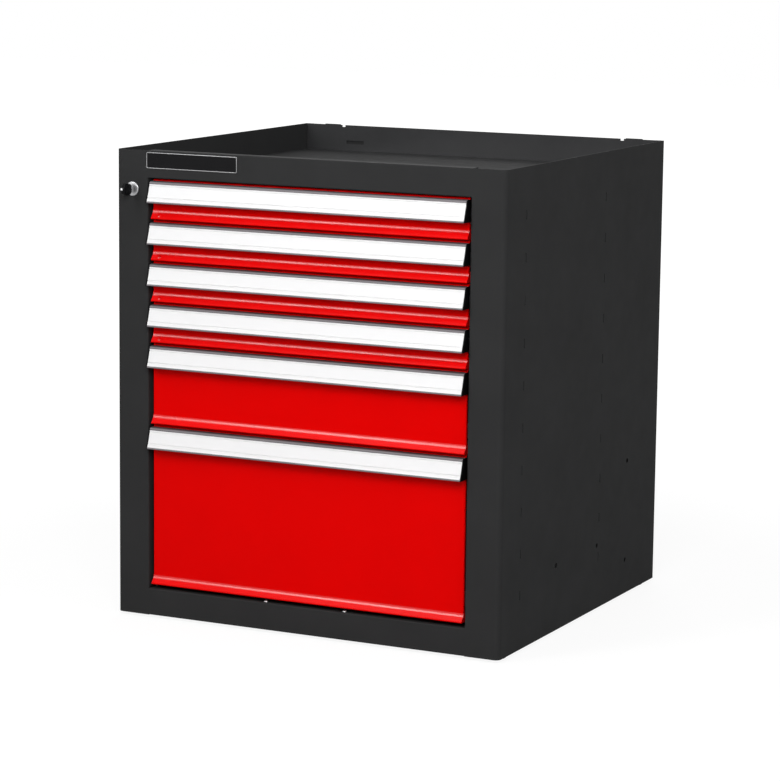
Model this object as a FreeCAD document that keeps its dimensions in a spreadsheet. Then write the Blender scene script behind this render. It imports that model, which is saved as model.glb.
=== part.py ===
import FreeCAD, Part
import math
import os
import re
import Sketcher

# Drawer base cabinet: a folded steel casing with an open recess on top, six drawers on
# full-extension runners, and one lock that holds every drawer through a lock bar.
# Frame: +X to the right and -Y to the front as one faces the drawers, +Z up, floor at z = 0.
# Inside a piece, x = 0 is the middle of the cabinet, y = 0 the face of the front frame and
# z = 0 the underside of the casing, or of the drawer's own space in the stack.

# Driving sizes in millimetres: name, value, what it is.
SIZES = (
    ("body_width", 722.0, "casing over the side panels"),
    ("body_depth", 690.0, "casing from the front frame to the back"),
    ("panel_sheet", 1.5, "sheet of the casing"),
    ("corner_radius", 10.0, "outer radius of the two front uprights"),
    ("edge_radius", 2.5, "outer radius of the other folds of the casing"),
    ("stile_width", 62.0, "width of the front uprights"),
    ("jamb_depth", 22.0, "depth of the returns round the opening"),
    ("side_return", 15.0, "rear return of the side panels"),
    ("top_rail_height", 46.5, "front rail over the drawers"),
    ("bottom_rail_height", 47.0, "front rail under the drawers"),
    ("stack_play", 3.0, "space between the bottom rail and the lowest drawer"),
    ("head_play", 3.5, "space between the highest drawer and the top rail"),
    ("module", 70.0, "height step of the drawer stack"),
    ("tray_recess", 47.5, "depth of the recess on top"),
    ("tray_flange", 15.0, "turned-down edge of the recess floor"),
    ("tray_upstand", 22.0, "turned-up front edge of the recess floor"),
    ("base_flange", 20.0, "turned-up edge of the base pan"),
    ("tab_width", 32.0, "raised tab on the back panel's top edge"),
    ("tab_rise", 1.2, "rise of that tab"),
    ("tab_offset", 304.0, "middle of the tab from the cabinet's middle"),
    ("notch_width", 6.5, "notch beside the tab"),
    ("notch_depth", 3.6, "depth of that notch"),
    ("notch_offset", 281.0, "middle of the notch from the cabinet's middle"),
    ("hook_slot_length", 36.0, "slot for a worktop hook in the back panel"),
    ("hook_slot_height", 6.0, "height of that slot"),
    ("hook_slot_offset", 257.0, "middle of the slot from the cabinet's middle"),
    ("hook_slot_drop", 32.0, "slot below the back panel's top edge"),
    ("slot_width", 4.0, "post slot in the side panel"),
    ("slot_length", 15.0, "height of that slot"),
    ("slot_rise", 42.0, "slot above the bottom of its height step"),
    ("post_front_y", 80.5, "front column of slots behind the front face"),
    ("post_spacing", 339.0, "front column to rear column"),
    ("post_width", 40.0, "runner post along the depth"),
    ("post_sheet", 2.0, "sheet of the runner posts"),
    ("post_end_play", 1.0, "post ends to the pan and the recess floor"),
    ("post_tab_reach", 1.1, "post tab into the side panel's slot"),
    ("tab_play", 1.0, "post tab to each end of its slot"),
    ("side_hole_radius", 4.25, "joining holes in the side panels"),
    ("side_hole_pitch", 180.0, "spacing of the joining holes"),
    ("low_hole_y", 233.0, "first low hole behind the front face"),
    ("low_hole_z", 112.8, "low holes above the casing's underside"),
    ("rear_hole_y", 547.5, "upright pair behind the front face"),
    ("rear_hole_z", 61.5, "lower hole of the upright pair"),
    ("foot_height", 5.0, "foot below the casing"),
    ("foot_radius", 18.0, "foot disc"),
    ("foot_round", 1.2, "rounding of the foot's lower edge"),
    ("foot_inset", 22.5, "foot's axis from the side panel's outer face"),
    ("foot_front_y", 38.0, "front feet behind the front face"),
    ("foot_rear_gap", 45.0, "rear feet in front of the back"),
    ("foot_stem_radius", 4.0, "stem through the base pan"),
    ("foot_stem_length", 12.0, "stem above the casing's underside"),
    ("hole_play", 0.25, "radial clearance of screws and stems"),
    ("screw_offset", 74.5, "rail screws from the cabinet's middle"),
    ("screw_setback", 9.5, "rail screws behind the front face"),
    ("screw_head_radius", 4.2, "head of a rail screw"),
    ("screw_head_height", 2.2, "height of that head"),
    ("screw_radius", 2.0, "shank of a rail screw"),
    ("screw_length", 9.0, "shank below the flange's upper face"),
    ("badge_length", 173.5, "bare badge plate"),
    ("badge_height", 27.0, "height of the badge plate"),
    ("badge_sheet", 1.2, "thickness of the badge plate"),
    ("badge_rim", 1.6, "raised rim of the badge plate"),
    ("badge_sink", 0.4, "field below the rim"),
    ("badge_inset", 59.2, "badge plate from the left side"),
    ("badge_drop", 2.8, "badge plate below the top edge"),
    ("lock_inset", 32.1, "lock's axis from the left side"),
    ("lock_drop", 65.7, "lock's axis below the top edge"),
    ("lock_head_radius", 12.2, "lock's face ring"),
    ("lock_head_length", 3.0, "face ring in front of the upright"),
    ("lock_barrel_radius", 9.0, "lock's barrel"),
    ("lock_barrel_length", 28.0, "barrel behind the front face"),
    ("lock_nut_width", 24.0, "lock nut across flats"),
    ("lock_nut_length", 4.0, "thickness of the lock nut"),
    ("plug_radius", 6.0, "turning plug"),
    ("plug_tail", 3.0, "plug behind the barrel"),
    ("running_play", 0.08, "radial clearance of the plug in its barrel"),
    ("tang_width", 6.0, "square at the plug's end"),
    ("bow_gap", 9.0, "key's bow in front of the front face"),
    ("bow_length", 25.0, "key's bow along its blade"),
    ("bow_height", 20.0, "key's bow across"),
    ("bow_thickness", 7.5, "thickness of the bow"),
    ("bow_round", 3.0, "rounding of the bow"),
    ("key_tail", 4.0, "ring lug past the bow"),
    ("key_hole_radius", 1.4, "hole in the ring lug"),
    ("blade_height", 8.0, "key's blade"),
    ("blade_thickness", 2.2, "thickness of the blade"),
    ("blade_depth", 18.0, "blade behind the front face"),
    ("keyway_play", 0.2, "keyway to the blade"),
    ("cam_sheet", 2.5, "thickness of the cam"),
    ("cam_radius", 8.0, "cam round the plug's square"),
    ("cam_reach", 8.5, "cam pin from the lock's axis"),
    ("cam_pin_radius", 2.0, "cam pin"),
    ("cam_pin_length", 5.0, "cam pin behind the cam"),
    ("yoke_play", 0.7, "yoke slot above and below the cam pin"),
    ("yoke_wall", 5.0, "yoke above and below its slot"),
    ("bar_setback", 35.0, "lock bar behind the front face"),
    ("bar_sheet", 2.0, "thickness of the lock bar"),
    ("bar_width", 20.0, "width of the lock bar"),
    ("bar_clearance", 3.5, "lock bar outside the opening"),
    ("bar_tail", 16.0, "lock bar below the lowest drawer"),
    ("hook_sheet", 2.0, "thickness of a lock hook"),
    ("hook_height", 6.0, "height of a lock hook"),
    ("hook_rest", -4.0, "unlocked hook above the bottom of its drawer's space"),
    ("hook_overlap", 10.0, "lock hook on the bar"),
    ("hook_reach", 10.0, "lock hook inside the opening"),
    ("guide_sheet", 2.0, "thickness of a lock bar guide"),
    ("guide_play", 0.3, "guide slot round the lock bar"),
    ("guide_depth", 14.0, "guide along the depth"),
    ("guide_flange", 14.0, "welded edge of a guide"),
    ("front_gap", 5.5, "drawer front to each upright"),
    ("front_sheet", 1.2, "sheet of the drawer fronts"),
    ("face_setback", 7.0, "drawer faces behind the front face"),
    ("front_overlap", 3.0, "drawer front above its space"),
    ("front_flange", 13.0, "returns of the drawer fronts"),
    ("lip_bottom", 4.5, "lip's lower edge above the bottom of the space"),
    ("lip_height", 13.7, "height of the lip"),
    ("lip_reach", 9.0, "lip's lower edge in front of the face"),
    ("fold_radius", 2.2, "outer radius of the front's upper folds"),
    ("lip_radius", 1.4, "outer radius of the lip's lower fold"),
    ("drawer_sheet", 1.0, "sheet of the drawer boxes"),
    ("drawer_rim", 6.0, "turned-in rim of the drawer boxes"),
    ("box_headroom", 6.0, "box's rim below the top of its space"),
    ("back_clearance", 69.0, "closed drawer to the back panel"),
    ("divider_pitch", 51.0, "spacing of the divider slots"),
    ("divider_slot", 2.0, "width of a divider slot"),
    ("divider_start", 60.0, "first divider slot behind the box's front"),
    ("divider_margin", 11.0, "divider slot to the box's floor and rim"),
    ("slide_outset", 0.5, "runner's seat outside the opening"),
    ("slide_space", 13.0, "runner's seat to the drawer box"),
    ("slide_start", 26.0, "runner's front end behind the front face"),
    ("slide_lift", 18.3, "runner above the box's underside"),
    ("slide_height", 32.0, "height of the cabinet member"),
    ("slide_sheet", 1.2, "sheet of the runners"),
    ("slide_play", 0.5, "runner flanges to each other"),
    ("web_play", 0.8, "runner webs to each other"),
    ("outer_depth", 9.5, "flanges of the cabinet member"),
    ("middle_depth", 9.0, "flanges of the middle member"),
    ("inner_depth", 9.0, "flanges of the drawer member"),
    ("catch_reach", 10.5, "lock catch beside the drawer box"),
    ("catch_sheet", 3.0, "lock catch along the depth"),
    ("catch_gap", 1.0, "lock catch behind the hook's rear face"),
    ("catch_rise", 9.0, "catch above the bottom of the space"),
    ("catch_height", 7.0, "height of the catch"),
    ("handle_gap", 6.0, "handle's extrusion to each upright"),
    ("handle_drop", 0.8, "handle below the top of the drawer's space"),
    ("handle_height", 36.2, "height of the handle"),
    ("handle_top", 12.5, "handle's upper edge in front of the face"),
    ("handle_tip", 23.0, "handle's lower edge in front of the face"),
    ("handle_wall", 1.8, "wall of the handle"),
    ("handle_round", 4.0, "outer radius along the handle's top"),
    ("handle_sweep", 160.0, "radius of the hollow front of the handle"),
    ("handle_leg", 20.0, "handle's leg on the drawer front"),
    ("handle_cut", 2.3, "cut edge under the handle"),
    ("cap_length", 12.0, "end cap inside the handle"),
    ("cap_plate", 2.5, "end cap outside the handle"),
)

# Height steps that each drawer takes, from the top drawer down.
STEPS = (1, 1, 1, 1, 2, 4)
ALL_STEPS = sum(STEPS)
DRAWERS = range(len(STEPS))
SIDES = (-1, 1)

# Places that several pieces share, worked out from the driving sizes.
STACK_BOTTOM = "(bottom_rail_height + stack_play)"
BODY_HEIGHT = f"({STACK_BOTTOM} + {ALL_STEPS} * module + head_play + top_rail_height)"
HALF_OUTSIDE = "(body_width / 2)"
HALF_INSIDE = "(body_width / 2 - panel_sheet)"
HALF_OPENING = "(body_width / 2 - stile_width)"
KEY_REACH = "(bow_gap + bow_length + key_tail)"
FRONT_Y = f"(-(body_depth - {KEY_REACH}) / 2)"
BACK_FACE = "(body_depth - 2 * panel_sheet)"
TRAY_Z = f"({BODY_HEIGHT} - tray_recess)"
SLIDE_SEAT = f"({HALF_OPENING} + slide_outset)"
HALF_BOX = f"({SLIDE_SEAT} - slide_space)"
BOX_FRONT = "(face_setback + front_sheet)"
BOX_REAR = f"({BACK_FACE} - back_clearance)"
BOX_BOTTOM = "(lip_bottom + front_sheet)"
SLIDE_BOTTOM = f"({BOX_BOTTOM} + slide_lift)"
HALF_FRONT = f"({HALF_OPENING} - front_gap)"
HALF_HANDLE = f"({HALF_OPENING} - handle_gap)"
LIP_TOP = "(lip_bottom + lip_height)"
LOCK_X = f"(lock_inset - {HALF_OUTSIDE})"
LOCK_Z = f"({BODY_HEIGHT} - lock_drop)"
PLUG_REAR = "(lock_barrel_length + plug_tail)"
BAR_INNER = f"(-{HALF_OPENING} - bar_clearance)"

document = FreeCAD.newDocument("drawer_base_cabinet")
sheet = document.addObject("Spreadsheet::Sheet", "Dims")
for row, (name, value, meaning) in enumerate(SIZES, start=1):
    sheet.set(f"A{row}", name)
    sheet.set(f"B{row}", str(value))
    sheet.set(f"C{row}", meaning)
    sheet.setAlias(f"B{row}", name)
document.recompute()

NAMES = {name for name, value, meaning in SIZES}
sub_parts = []


def formula(text):
    """The expression as the document reads it, with each size's name pointing at its cell."""
    def cell(word):
        return f"Dims.{word.group()}" if word.group() in NAMES else word.group()
    return re.sub(r"[a-z]\w*", cell, text)


def number(text):
    """The value that an expression has now."""
    return float(sheet.evalExpression(formula(text)))


def new_piece(label, y=FRONT_Y, z="foot_height"):
    """A sub-part with its own label, on the cabinet's front face or at a depth and height of its own."""
    body = document.addObject("PartDesign::Body", label)
    body.Label = label
    body.AllowCompound = True
    body.setExpression(".Placement.Base.y", formula(y))
    body.setExpression(".Placement.Base.z", formula(z))
    sub_parts.append(body)
    return body


def origin_feature(body, role):
    return [feature for feature in body.Origin.OriginFeatures if feature.Role == role][0]


def new_sketch(body, plane, offset="0"):
    """A sketch on one of the piece's own planes, moved along that plane's normal."""
    sketch = body.newObject("Sketcher::SketchObject", body.Name + "_sketch")
    sketch.AttachmentSupport = [(origin_feature(body, plane), "")]
    sketch.MapMode = "FlatFace"
    sketch.setExpression(".AttachmentOffset.Base.z", formula(offset))
    return sketch


def side_curve(start, end, radius):
    """A straight side, or an arc whose centre is left of its direction for a positive radius."""
    if radius == 0:
        return Part.LineSegment(start, end), 1, 2
    chord = end - start
    left = FreeCAD.Vector(-chord.y, chord.x, 0).normalize()
    rise = math.sqrt(radius ** 2 - (chord.Length / 2) ** 2)
    centre = (start + end) / 2 + left * math.copysign(rise, radius)
    first, last = (start, end) if radius > 0 else (end, start)
    angles = [math.atan2(point.y - centre.y, point.x - centre.x) for point in (first, last)]
    circle = Part.Circle(centre, FreeCAD.Vector(0, 0, 1), abs(radius))
    tail, head = (1, 2) if radius > 0 else (2, 1)
    return Part.ArcOfCircle(circle, *angles), tail, head


def outline(sketch, corners):
    """A closed outline. Its corners are bound to the sizes, and so is the radius of a curved side,
    which the corner before it gives as a third value."""
    places = [FreeCAD.Vector(number(corner[0]), number(corner[1]), 0) for corner in corners]
    radii = [number(corner[2]) if len(corner) > 2 else 0 for corner in corners]
    ends = places[1:] + places[:1]
    sides = [side_curve(place, end, radius) for place, end, radius in zip(places, ends, radii)]
    first = sketch.GeometryCount
    sketch.addGeometry([curve for curve, tail, head in sides], False)
    rules = []
    bindings = []
    for turn, (corner, place) in enumerate(zip(corners, places)):
        tail = sides[turn][1]
        following = (turn + 1) % len(sides)
        rules.append(Sketcher.Constraint("Coincident", first + turn, sides[turn][2],
                                         first + following, sides[following][1]))
        bindings.append(None)
        rules.append(Sketcher.Constraint("DistanceX", -1, 1, first + turn, tail, place.x))
        bindings.append(corner[0])
        rules.append(Sketcher.Constraint("DistanceY", -1, 1, first + turn, tail, place.y))
        bindings.append(corner[1])
        if radii[turn]:
            rules.append(Sketcher.Constraint("Radius", first + turn, abs(radii[turn])))
            bindings.append(f"abs({corner[2]})")
    bind_rules(sketch, rules, bindings)


def ring(sketch, x, y, radius):
    """A circle with its centre and radius bound to the sizes."""
    first = sketch.GeometryCount
    centre = FreeCAD.Vector(number(x), number(y), 0)
    sketch.addGeometry(Part.Circle(centre, FreeCAD.Vector(0, 0, 1), number(radius)), False)
    rules = [
        Sketcher.Constraint("DistanceX", -1, 1, first, 3, centre.x),
        Sketcher.Constraint("DistanceY", -1, 1, first, 3, centre.y),
        Sketcher.Constraint("Radius", first, number(radius)),
    ]
    bind_rules(sketch, rules, [x, y, radius])


def bind_rules(sketch, rules, bindings):
    first = sketch.ConstraintCount
    sketch.addConstraint(rules)
    for place, text in enumerate(bindings, start=first):
        if text is not None:
            sketch.setExpression(f"Constraints[{place}]", formula(text))


def rectangle(sketch, low_x, low_y, high_x, high_y):
    outline(sketch, [(low_x, low_y), (high_x, low_y), (high_x, high_y), (low_x, high_y)])


def direction(start, end):
    """Unit step along X or Y between two corners of a square-folded path."""
    step_x = number(end[0]) - number(start[0])
    step_y = number(end[1]) - number(start[1])
    if abs(step_y) > abs(step_x):
        return (0, int(math.copysign(1, step_y)))
    return (int(math.copysign(1, step_x)), 0)


def folded_sheet(sketch, path, wall):
    """A sheet folded square: the path of its one face, and its other face one wall to the path's left."""
    steps = [direction(start, end) for start, end in zip(path, path[1:])]
    steps = [steps[0]] + steps + [steps[-1]]
    other = []
    for place, (before, after) in enumerate(zip(steps, steps[1:])):
        normals = {(-before[1], before[0]), (-after[1], after[0])}
        move_x = sum(normal[0] for normal in normals)
        move_y = sum(normal[1] for normal in normals)
        other.append((f"{path[place][0]} + {move_x} * {wall}", f"{path[place][1]} + {move_y} * {wall}"))
    outline(sketch, list(path) + other[::-1])


def extrude(body, sketch, length, backwards=False, centred=False):
    pad = body.newObject("PartDesign::Pad", body.Name + "_pad")
    pad.Profile = sketch
    pad.setExpression("Length", formula(length))
    pad.Midplane = centred
    pad.Reversed = backwards
    document.recompute()
    return pad


def cut(body, sketch, length=None, backwards=False):
    """Takes the sketch out of the piece, right through it where no length is given."""
    before = body.Shape.Volume
    pocket = body.newObject("PartDesign::Pocket", body.Name + "_pocket")
    pocket.Profile = sketch
    if length is None:
        pocket.Type = "ThroughAll"
        pocket.Midplane = True
    else:
        pocket.setExpression("Length", formula(length))
        pocket.Reversed = backwards
    document.recompute()
    if body.Shape.Volume >= before:
        raise ValueError(f"{pocket.Name} removes nothing")
    return pocket


def repeat(body, features, axis, spacing, copies):
    """The features again along one of the piece's axes."""
    pattern = body.newObject("PartDesign::LinearPattern", body.Name + "_pattern")
    pattern.Originals = features
    pattern.Direction = (origin_feature(body, axis), [""])
    pattern.setExpression("Length", formula(f"{copies - 1} * {spacing}"))
    pattern.Occurrences = copies
    body.Tip = pattern
    document.recompute()
    return pattern


def mirror(body, features):
    """The features again on the other side of the cabinet's middle."""
    copy = body.newObject("PartDesign::Mirrored", body.Name + "_mirror")
    copy.Originals = features
    copy.MirrorPlane = (origin_feature(body, "YZ_Plane"), [""])
    body.Tip = copy
    document.recompute()
    return copy


def round_edges(body, radius, *middles):
    """Rounds the edges whose middles are given."""
    base = body.Tip
    names = []
    for middle in middles:
        target = FreeCAD.Vector(*[number(text) for text in middle])
        misses = [(edge.CenterOfMass - target).Length for edge in base.Shape.Edges]
        miss = min(misses)
        if miss > 0.5:
            raise ValueError(f"{body.Name} has no edge at {middle}")
        names += [f"Edge{place}" for place, other in enumerate(misses, 1) if other < miss + 0.001]
    fillet = body.newObject("PartDesign::Fillet", body.Name + "_fillet")
    fillet.Base = (base, names)
    fillet.setExpression("Radius", formula(radius))
    document.recompute()
    return fillet


def steps_below(drawer):
    return sum(STEPS[drawer + 1:])


def space_bottom(drawer):
    """Bottom of a drawer's own space in the stack, above the casing's underside."""
    return f"({STACK_BOTTOM} + {steps_below(drawer)} * module)"


def slot_height(step):
    """Middle of the post slot of one height step, above the casing's underside."""
    return f"({STACK_BOTTOM} + {step} * module + slot_rise)"


# Casing

def make_side_panel(label, side):
    """Side, front upright and both returns, folded from one sheet. The opening's edge is round
    between the rails, and square where it meets them flush."""
    body = new_piece(label)
    outside = f"{side} * {HALF_OUTSIDE}"
    opening = f"{side} * {HALF_OPENING}"
    sketch = new_sketch(body, "XY_Plane")
    path = [
        (f"{side} * ({HALF_OUTSIDE} - side_return)", "body_depth"),
        (outside, "body_depth"),
        (outside, "0"),
        (opening, "0"),
        (opening, "jamb_depth"),
    ]
    folded_sheet(sketch, path, f"{-side} * panel_sheet")
    extrude(body, sketch, BODY_HEIGHT)
    middle = f"{BODY_HEIGHT} / 2"
    inside = f"{side} * {HALF_INSIDE}"
    round_edges(body, "corner_radius", (outside, "0", middle))
    round_edges(body, "corner_radius - panel_sheet", (inside, "panel_sheet", middle))
    round_edges(body, "edge_radius", (outside, "body_depth", middle))
    round_edges(body, "edge_radius - panel_sheet",
                (f"{opening} + {side} * panel_sheet", "panel_sheet", middle),
                (inside, "body_depth - panel_sheet", middle))
    fold = new_sketch(body, "XY_Plane", "bottom_rail_height")
    outline(fold, [
        (opening, "0"),
        (opening, "edge_radius", f"{side} * edge_radius"),
        (f"{opening} + {side} * edge_radius", "0"),
    ])
    cut(body, fold, f"{BODY_HEIGHT} - bottom_rail_height - top_rail_height", backwards=True)
    slots = new_sketch(body, "YZ_Plane")
    for column in ("post_front_y", "post_front_y + post_spacing"):
        rectangle(slots, f"{column} - slot_width / 2", f"{slot_height(0)} - slot_length / 2",
                  f"{column} + slot_width / 2", f"{slot_height(0)} + slot_length / 2")
    first_slots = cut(body, slots)
    repeat(body, [first_slots], "Z_Axis", "module", ALL_STEPS)
    holes = new_sketch(body, "YZ_Plane")
    for step in (0, 1):
        ring(holes, f"low_hole_y + {step} * side_hole_pitch", "low_hole_z", "side_hole_radius")
        ring(holes, "rear_hole_y", f"rear_hole_z + {step} * side_hole_pitch", "side_hole_radius")
    cut(body, holes)
    return body


def make_side_panels():
    left = make_side_panel("side_panel_left", -1)
    lock_hole = new_sketch(left, "XZ_Plane")
    ring(lock_hole, LOCK_X, LOCK_Z, "lock_barrel_radius + hole_play")
    cut(left, lock_hole)
    make_side_panel("side_panel_right", 1)


def make_back_panel():
    """Flat panel inside the rear returns, with tabs, notches and hook slots along its top."""
    body = new_piece("back_panel")
    plate = new_sketch(body, "XZ_Plane", f"-{BACK_FACE}")
    half_width = f"({HALF_INSIDE} - (edge_radius - panel_sheet))"
    rectangle(plate, f"-{half_width}", "0", half_width, BODY_HEIGHT)
    extrude(body, plate, "panel_sheet", backwards=True)
    tabs = new_sketch(body, "XZ_Plane", f"-{BACK_FACE}")
    openings = new_sketch(body, "XZ_Plane")
    for side in SIDES:
        rectangle(tabs, f"{side} * tab_offset - tab_width / 2", f"{BODY_HEIGHT} - notch_depth",
                  f"{side} * tab_offset + tab_width / 2", f"{BODY_HEIGHT} + tab_rise")
        rectangle(openings, f"{side} * notch_offset - notch_width / 2", f"{BODY_HEIGHT} - notch_depth",
                  f"{side} * notch_offset + notch_width / 2", f"{BODY_HEIGHT} + notch_depth")
        rectangle(openings, f"{side} * hook_slot_offset - hook_slot_length / 2",
                  f"{BODY_HEIGHT} - hook_slot_drop - hook_slot_height / 2",
                  f"{side} * hook_slot_offset + hook_slot_length / 2",
                  f"{BODY_HEIGHT} - hook_slot_drop + hook_slot_height / 2")
    extrude(body, tabs, "panel_sheet", backwards=True)
    cut(body, openings)


def foot_places():
    """Axes of the four feet."""
    return [(f"{side} * ({HALF_OUTSIDE} - foot_inset)", depth)
            for side in SIDES for depth in ("foot_front_y", "body_depth - foot_rear_gap")]


def make_base_pan():
    body = new_piece("base_pan")
    floor = new_sketch(body, "XY_Plane")
    rectangle(floor, f"-{HALF_INSIDE}", "jamb_depth", HALF_INSIDE, BACK_FACE)
    extrude(body, floor, "base_flange")
    hollow = new_sketch(body, "XY_Plane", "panel_sheet")
    rectangle(hollow, f"-{HALF_INSIDE} + panel_sheet", "jamb_depth + panel_sheet",
              f"{HALF_INSIDE} - panel_sheet", f"{BACK_FACE} - panel_sheet")
    cut(body, hollow, "base_flange", backwards=True)
    holes = new_sketch(body, "XY_Plane")
    for x, y in foot_places():
        ring(holes, x, y, "foot_stem_radius + hole_play")
    cut(body, holes)


def make_top_tray():
    """Floor of the recess: edges turned down at the sides and back, and up at the front."""
    body = new_piece("top_tray")
    underside = f"{TRAY_Z} - tray_flange"
    floor = new_sketch(body, "XY_Plane", underside)
    rectangle(floor, f"-{HALF_INSIDE}", "jamb_depth", HALF_INSIDE, BACK_FACE)
    extrude(body, floor, "tray_flange")
    hollow = new_sketch(body, "XY_Plane", underside)
    rectangle(hollow, f"-{HALF_INSIDE} + panel_sheet", "0", f"{HALF_INSIDE} - panel_sheet",
              f"{BACK_FACE} - panel_sheet")
    cut(body, hollow, "tray_flange - panel_sheet", backwards=True)
    upstand = new_sketch(body, "XY_Plane", TRAY_Z)
    rectangle(upstand, f"-{HALF_INSIDE}", "jamb_depth", HALF_INSIDE, "jamb_depth + panel_sheet")
    extrude(body, upstand, "tray_upstand")


def make_rail(label, low, high):
    """Front rail between the uprights, folded back along its top and bottom."""
    body = new_piece(label)
    profile = new_sketch(body, "YZ_Plane")
    path = [("jamb_depth", high), ("0", high), ("0", low), ("jamb_depth", low)]
    folded_sheet(profile, path, "panel_sheet")
    extrude(body, profile, f"2 * {HALF_OPENING}", centred=True)
    round_edges(body, "edge_radius", ("0", "0", high), ("0", "0", low))
    round_edges(body, "edge_radius - panel_sheet", ("0", "panel_sheet", f"{high} - panel_sheet"),
                ("0", "panel_sheet", f"{low} + panel_sheet"))
    return body


def make_rails():
    make_rail("top_rail", f"{BODY_HEIGHT} - top_rail_height", BODY_HEIGHT)
    bottom = make_rail("bottom_rail", "0", "bottom_rail_height")
    holes = new_sketch(bottom, "XY_Plane", "bottom_rail_height")
    for side in SIDES:
        ring(holes, f"{side} * screw_offset", "screw_setback", "screw_radius + hole_play")
    cut(bottom, holes, "2 * panel_sheet")


def make_rail_screws():
    body = new_piece("rail_screws")
    heads = new_sketch(body, "XY_Plane", "bottom_rail_height")
    shanks = new_sketch(body, "XY_Plane", "bottom_rail_height")
    for side in SIDES:
        ring(heads, f"{side} * screw_offset", "screw_setback", "screw_head_radius")
        ring(shanks, f"{side} * screw_offset", "screw_setback", "screw_radius")
    extrude(body, heads, "screw_head_height")
    top = "bottom_rail_height + screw_head_height"
    round_edges(body, "screw_head_height * 0.6",
                *[(f"{side} * screw_offset", "screw_setback", top) for side in SIDES])
    extrude(body, shanks, "screw_length", backwards=True)


def make_posts():
    """Four channel posts that carry the runners, tabbed into the side panels' slots."""
    body = new_piece("runner_posts")
    bottom = "base_flange + post_end_play"
    profile = new_sketch(body, "XY_Plane", bottom)
    for side in SIDES:
        for column in ("post_front_y", "post_front_y + post_spacing"):
            near = f"{column} - post_sheet / 2"
            far = f"{near} + post_width"
            path = [(f"{side} * {HALF_INSIDE}", near), (f"{side} * {SLIDE_SEAT}", near),
                    (f"{side} * {SLIDE_SEAT}", far), (f"{side} * {HALF_INSIDE}", far)]
            folded_sheet(profile, path, f"{-side} * post_sheet")
    extrude(body, profile, f"{TRAY_Z} - tray_flange - post_end_play - ({bottom})")
    first_tabs = []
    for side in SIDES:
        tabs = new_sketch(body, "YZ_Plane", f"{side} * {HALF_INSIDE}")
        for column in ("post_front_y", "post_front_y + post_spacing"):
            rectangle(tabs, f"{column} - post_sheet / 2", f"{slot_height(0)} - slot_length / 2 + tab_play",
                      f"{column} + post_sheet / 2", f"{slot_height(0)} + slot_length / 2 - tab_play")
        first_tabs.append(extrude(body, tabs, "post_tab_reach", backwards=side < 0))
    repeat(body, first_tabs, "Z_Axis", "module", ALL_STEPS)


def make_feet():
    body = new_piece("feet")
    discs = new_sketch(body, "XY_Plane")
    stems = new_sketch(body, "XY_Plane")
    for x, y in foot_places():
        ring(discs, x, y, "foot_radius")
        ring(stems, x, y, "foot_stem_radius")
    extrude(body, discs, "foot_height", backwards=True)
    round_edges(body, "foot_round", *[(x, y, "-foot_height") for x, y in foot_places()])
    extrude(body, stems, "foot_stem_length")


def make_badge_plate():
    """Bare plate with a raised rim on the top rail."""
    body = new_piece("badge_plate")
    left = f"badge_inset - {HALF_OUTSIDE}"
    top = f"{BODY_HEIGHT} - badge_drop"
    plate = new_sketch(body, "XZ_Plane")
    rectangle(plate, left, f"{top} - badge_height", f"{left} + badge_length", top)
    extrude(body, plate, "badge_sheet")
    field = new_sketch(body, "XZ_Plane", "badge_sheet")
    rectangle(field, f"{left} + badge_rim", f"{top} - badge_height + badge_rim",
              f"{left} + badge_length - badge_rim", f"{top} - badge_rim")
    cut(body, field, "badge_sink")


# Lock

def make_lock_housing():
    """Face ring, barrel with its bore, and the nut behind the upright."""
    body = new_piece("lock_housing")
    head = new_sketch(body, "XZ_Plane")
    ring(head, LOCK_X, LOCK_Z, "lock_head_radius")
    extrude(body, head, "lock_head_length")
    round_edges(body, "lock_head_length / 3", (LOCK_X, "-lock_head_length", LOCK_Z))
    barrel = new_sketch(body, "XZ_Plane")
    ring(barrel, LOCK_X, LOCK_Z, "lock_barrel_radius")
    extrude(body, barrel, "lock_barrel_length", backwards=True)
    bore = new_sketch(body, "XZ_Plane")
    ring(bore, LOCK_X, LOCK_Z, "plug_radius + running_play")
    cut(body, bore)
    nut = new_sketch(body, "XZ_Plane", "-panel_sheet")
    corner = "lock_nut_width / 2 / cos(30)"
    outline(nut, [(f"{LOCK_X} + {corner} * cos({turn})", f"{LOCK_Z} + {corner} * sin({turn})")
                  for turn in range(0, 360, 60)])
    ring(nut, LOCK_X, LOCK_Z, "lock_barrel_radius + running_play")
    extrude(body, nut, "lock_nut_length", backwards=True)


def make_lock_plug():
    """Turning plug with its keyway, and a square tang that carries the cam."""
    body = new_piece("lock_plug")
    plug = new_sketch(body, "XZ_Plane", "lock_head_length")
    ring(plug, LOCK_X, LOCK_Z, "plug_radius")
    extrude(body, plug, f"lock_head_length + {PLUG_REAR}", backwards=True)
    tang = new_sketch(body, "XZ_Plane", f"-{PLUG_REAR}")
    half_tang = "tang_width / 2"
    rectangle(tang, f"{LOCK_X} - {half_tang}", f"{LOCK_Z} - {half_tang}",
              f"{LOCK_X} + {half_tang}", f"{LOCK_Z} + {half_tang}")
    extrude(body, tang, "cam_sheet", backwards=True)
    keyway = new_sketch(body, "XZ_Plane", "lock_head_length")
    half_width = "(blade_thickness / 2 + keyway_play)"
    half_height = "(blade_height / 2 + keyway_play)"
    rectangle(keyway, f"{LOCK_X} - {half_width}", f"{LOCK_Z} - {half_height}",
              f"{LOCK_X} + {half_width}", f"{LOCK_Z} + {half_height}")
    cut(body, keyway, "lock_head_length + blade_depth + keyway_play")


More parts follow.
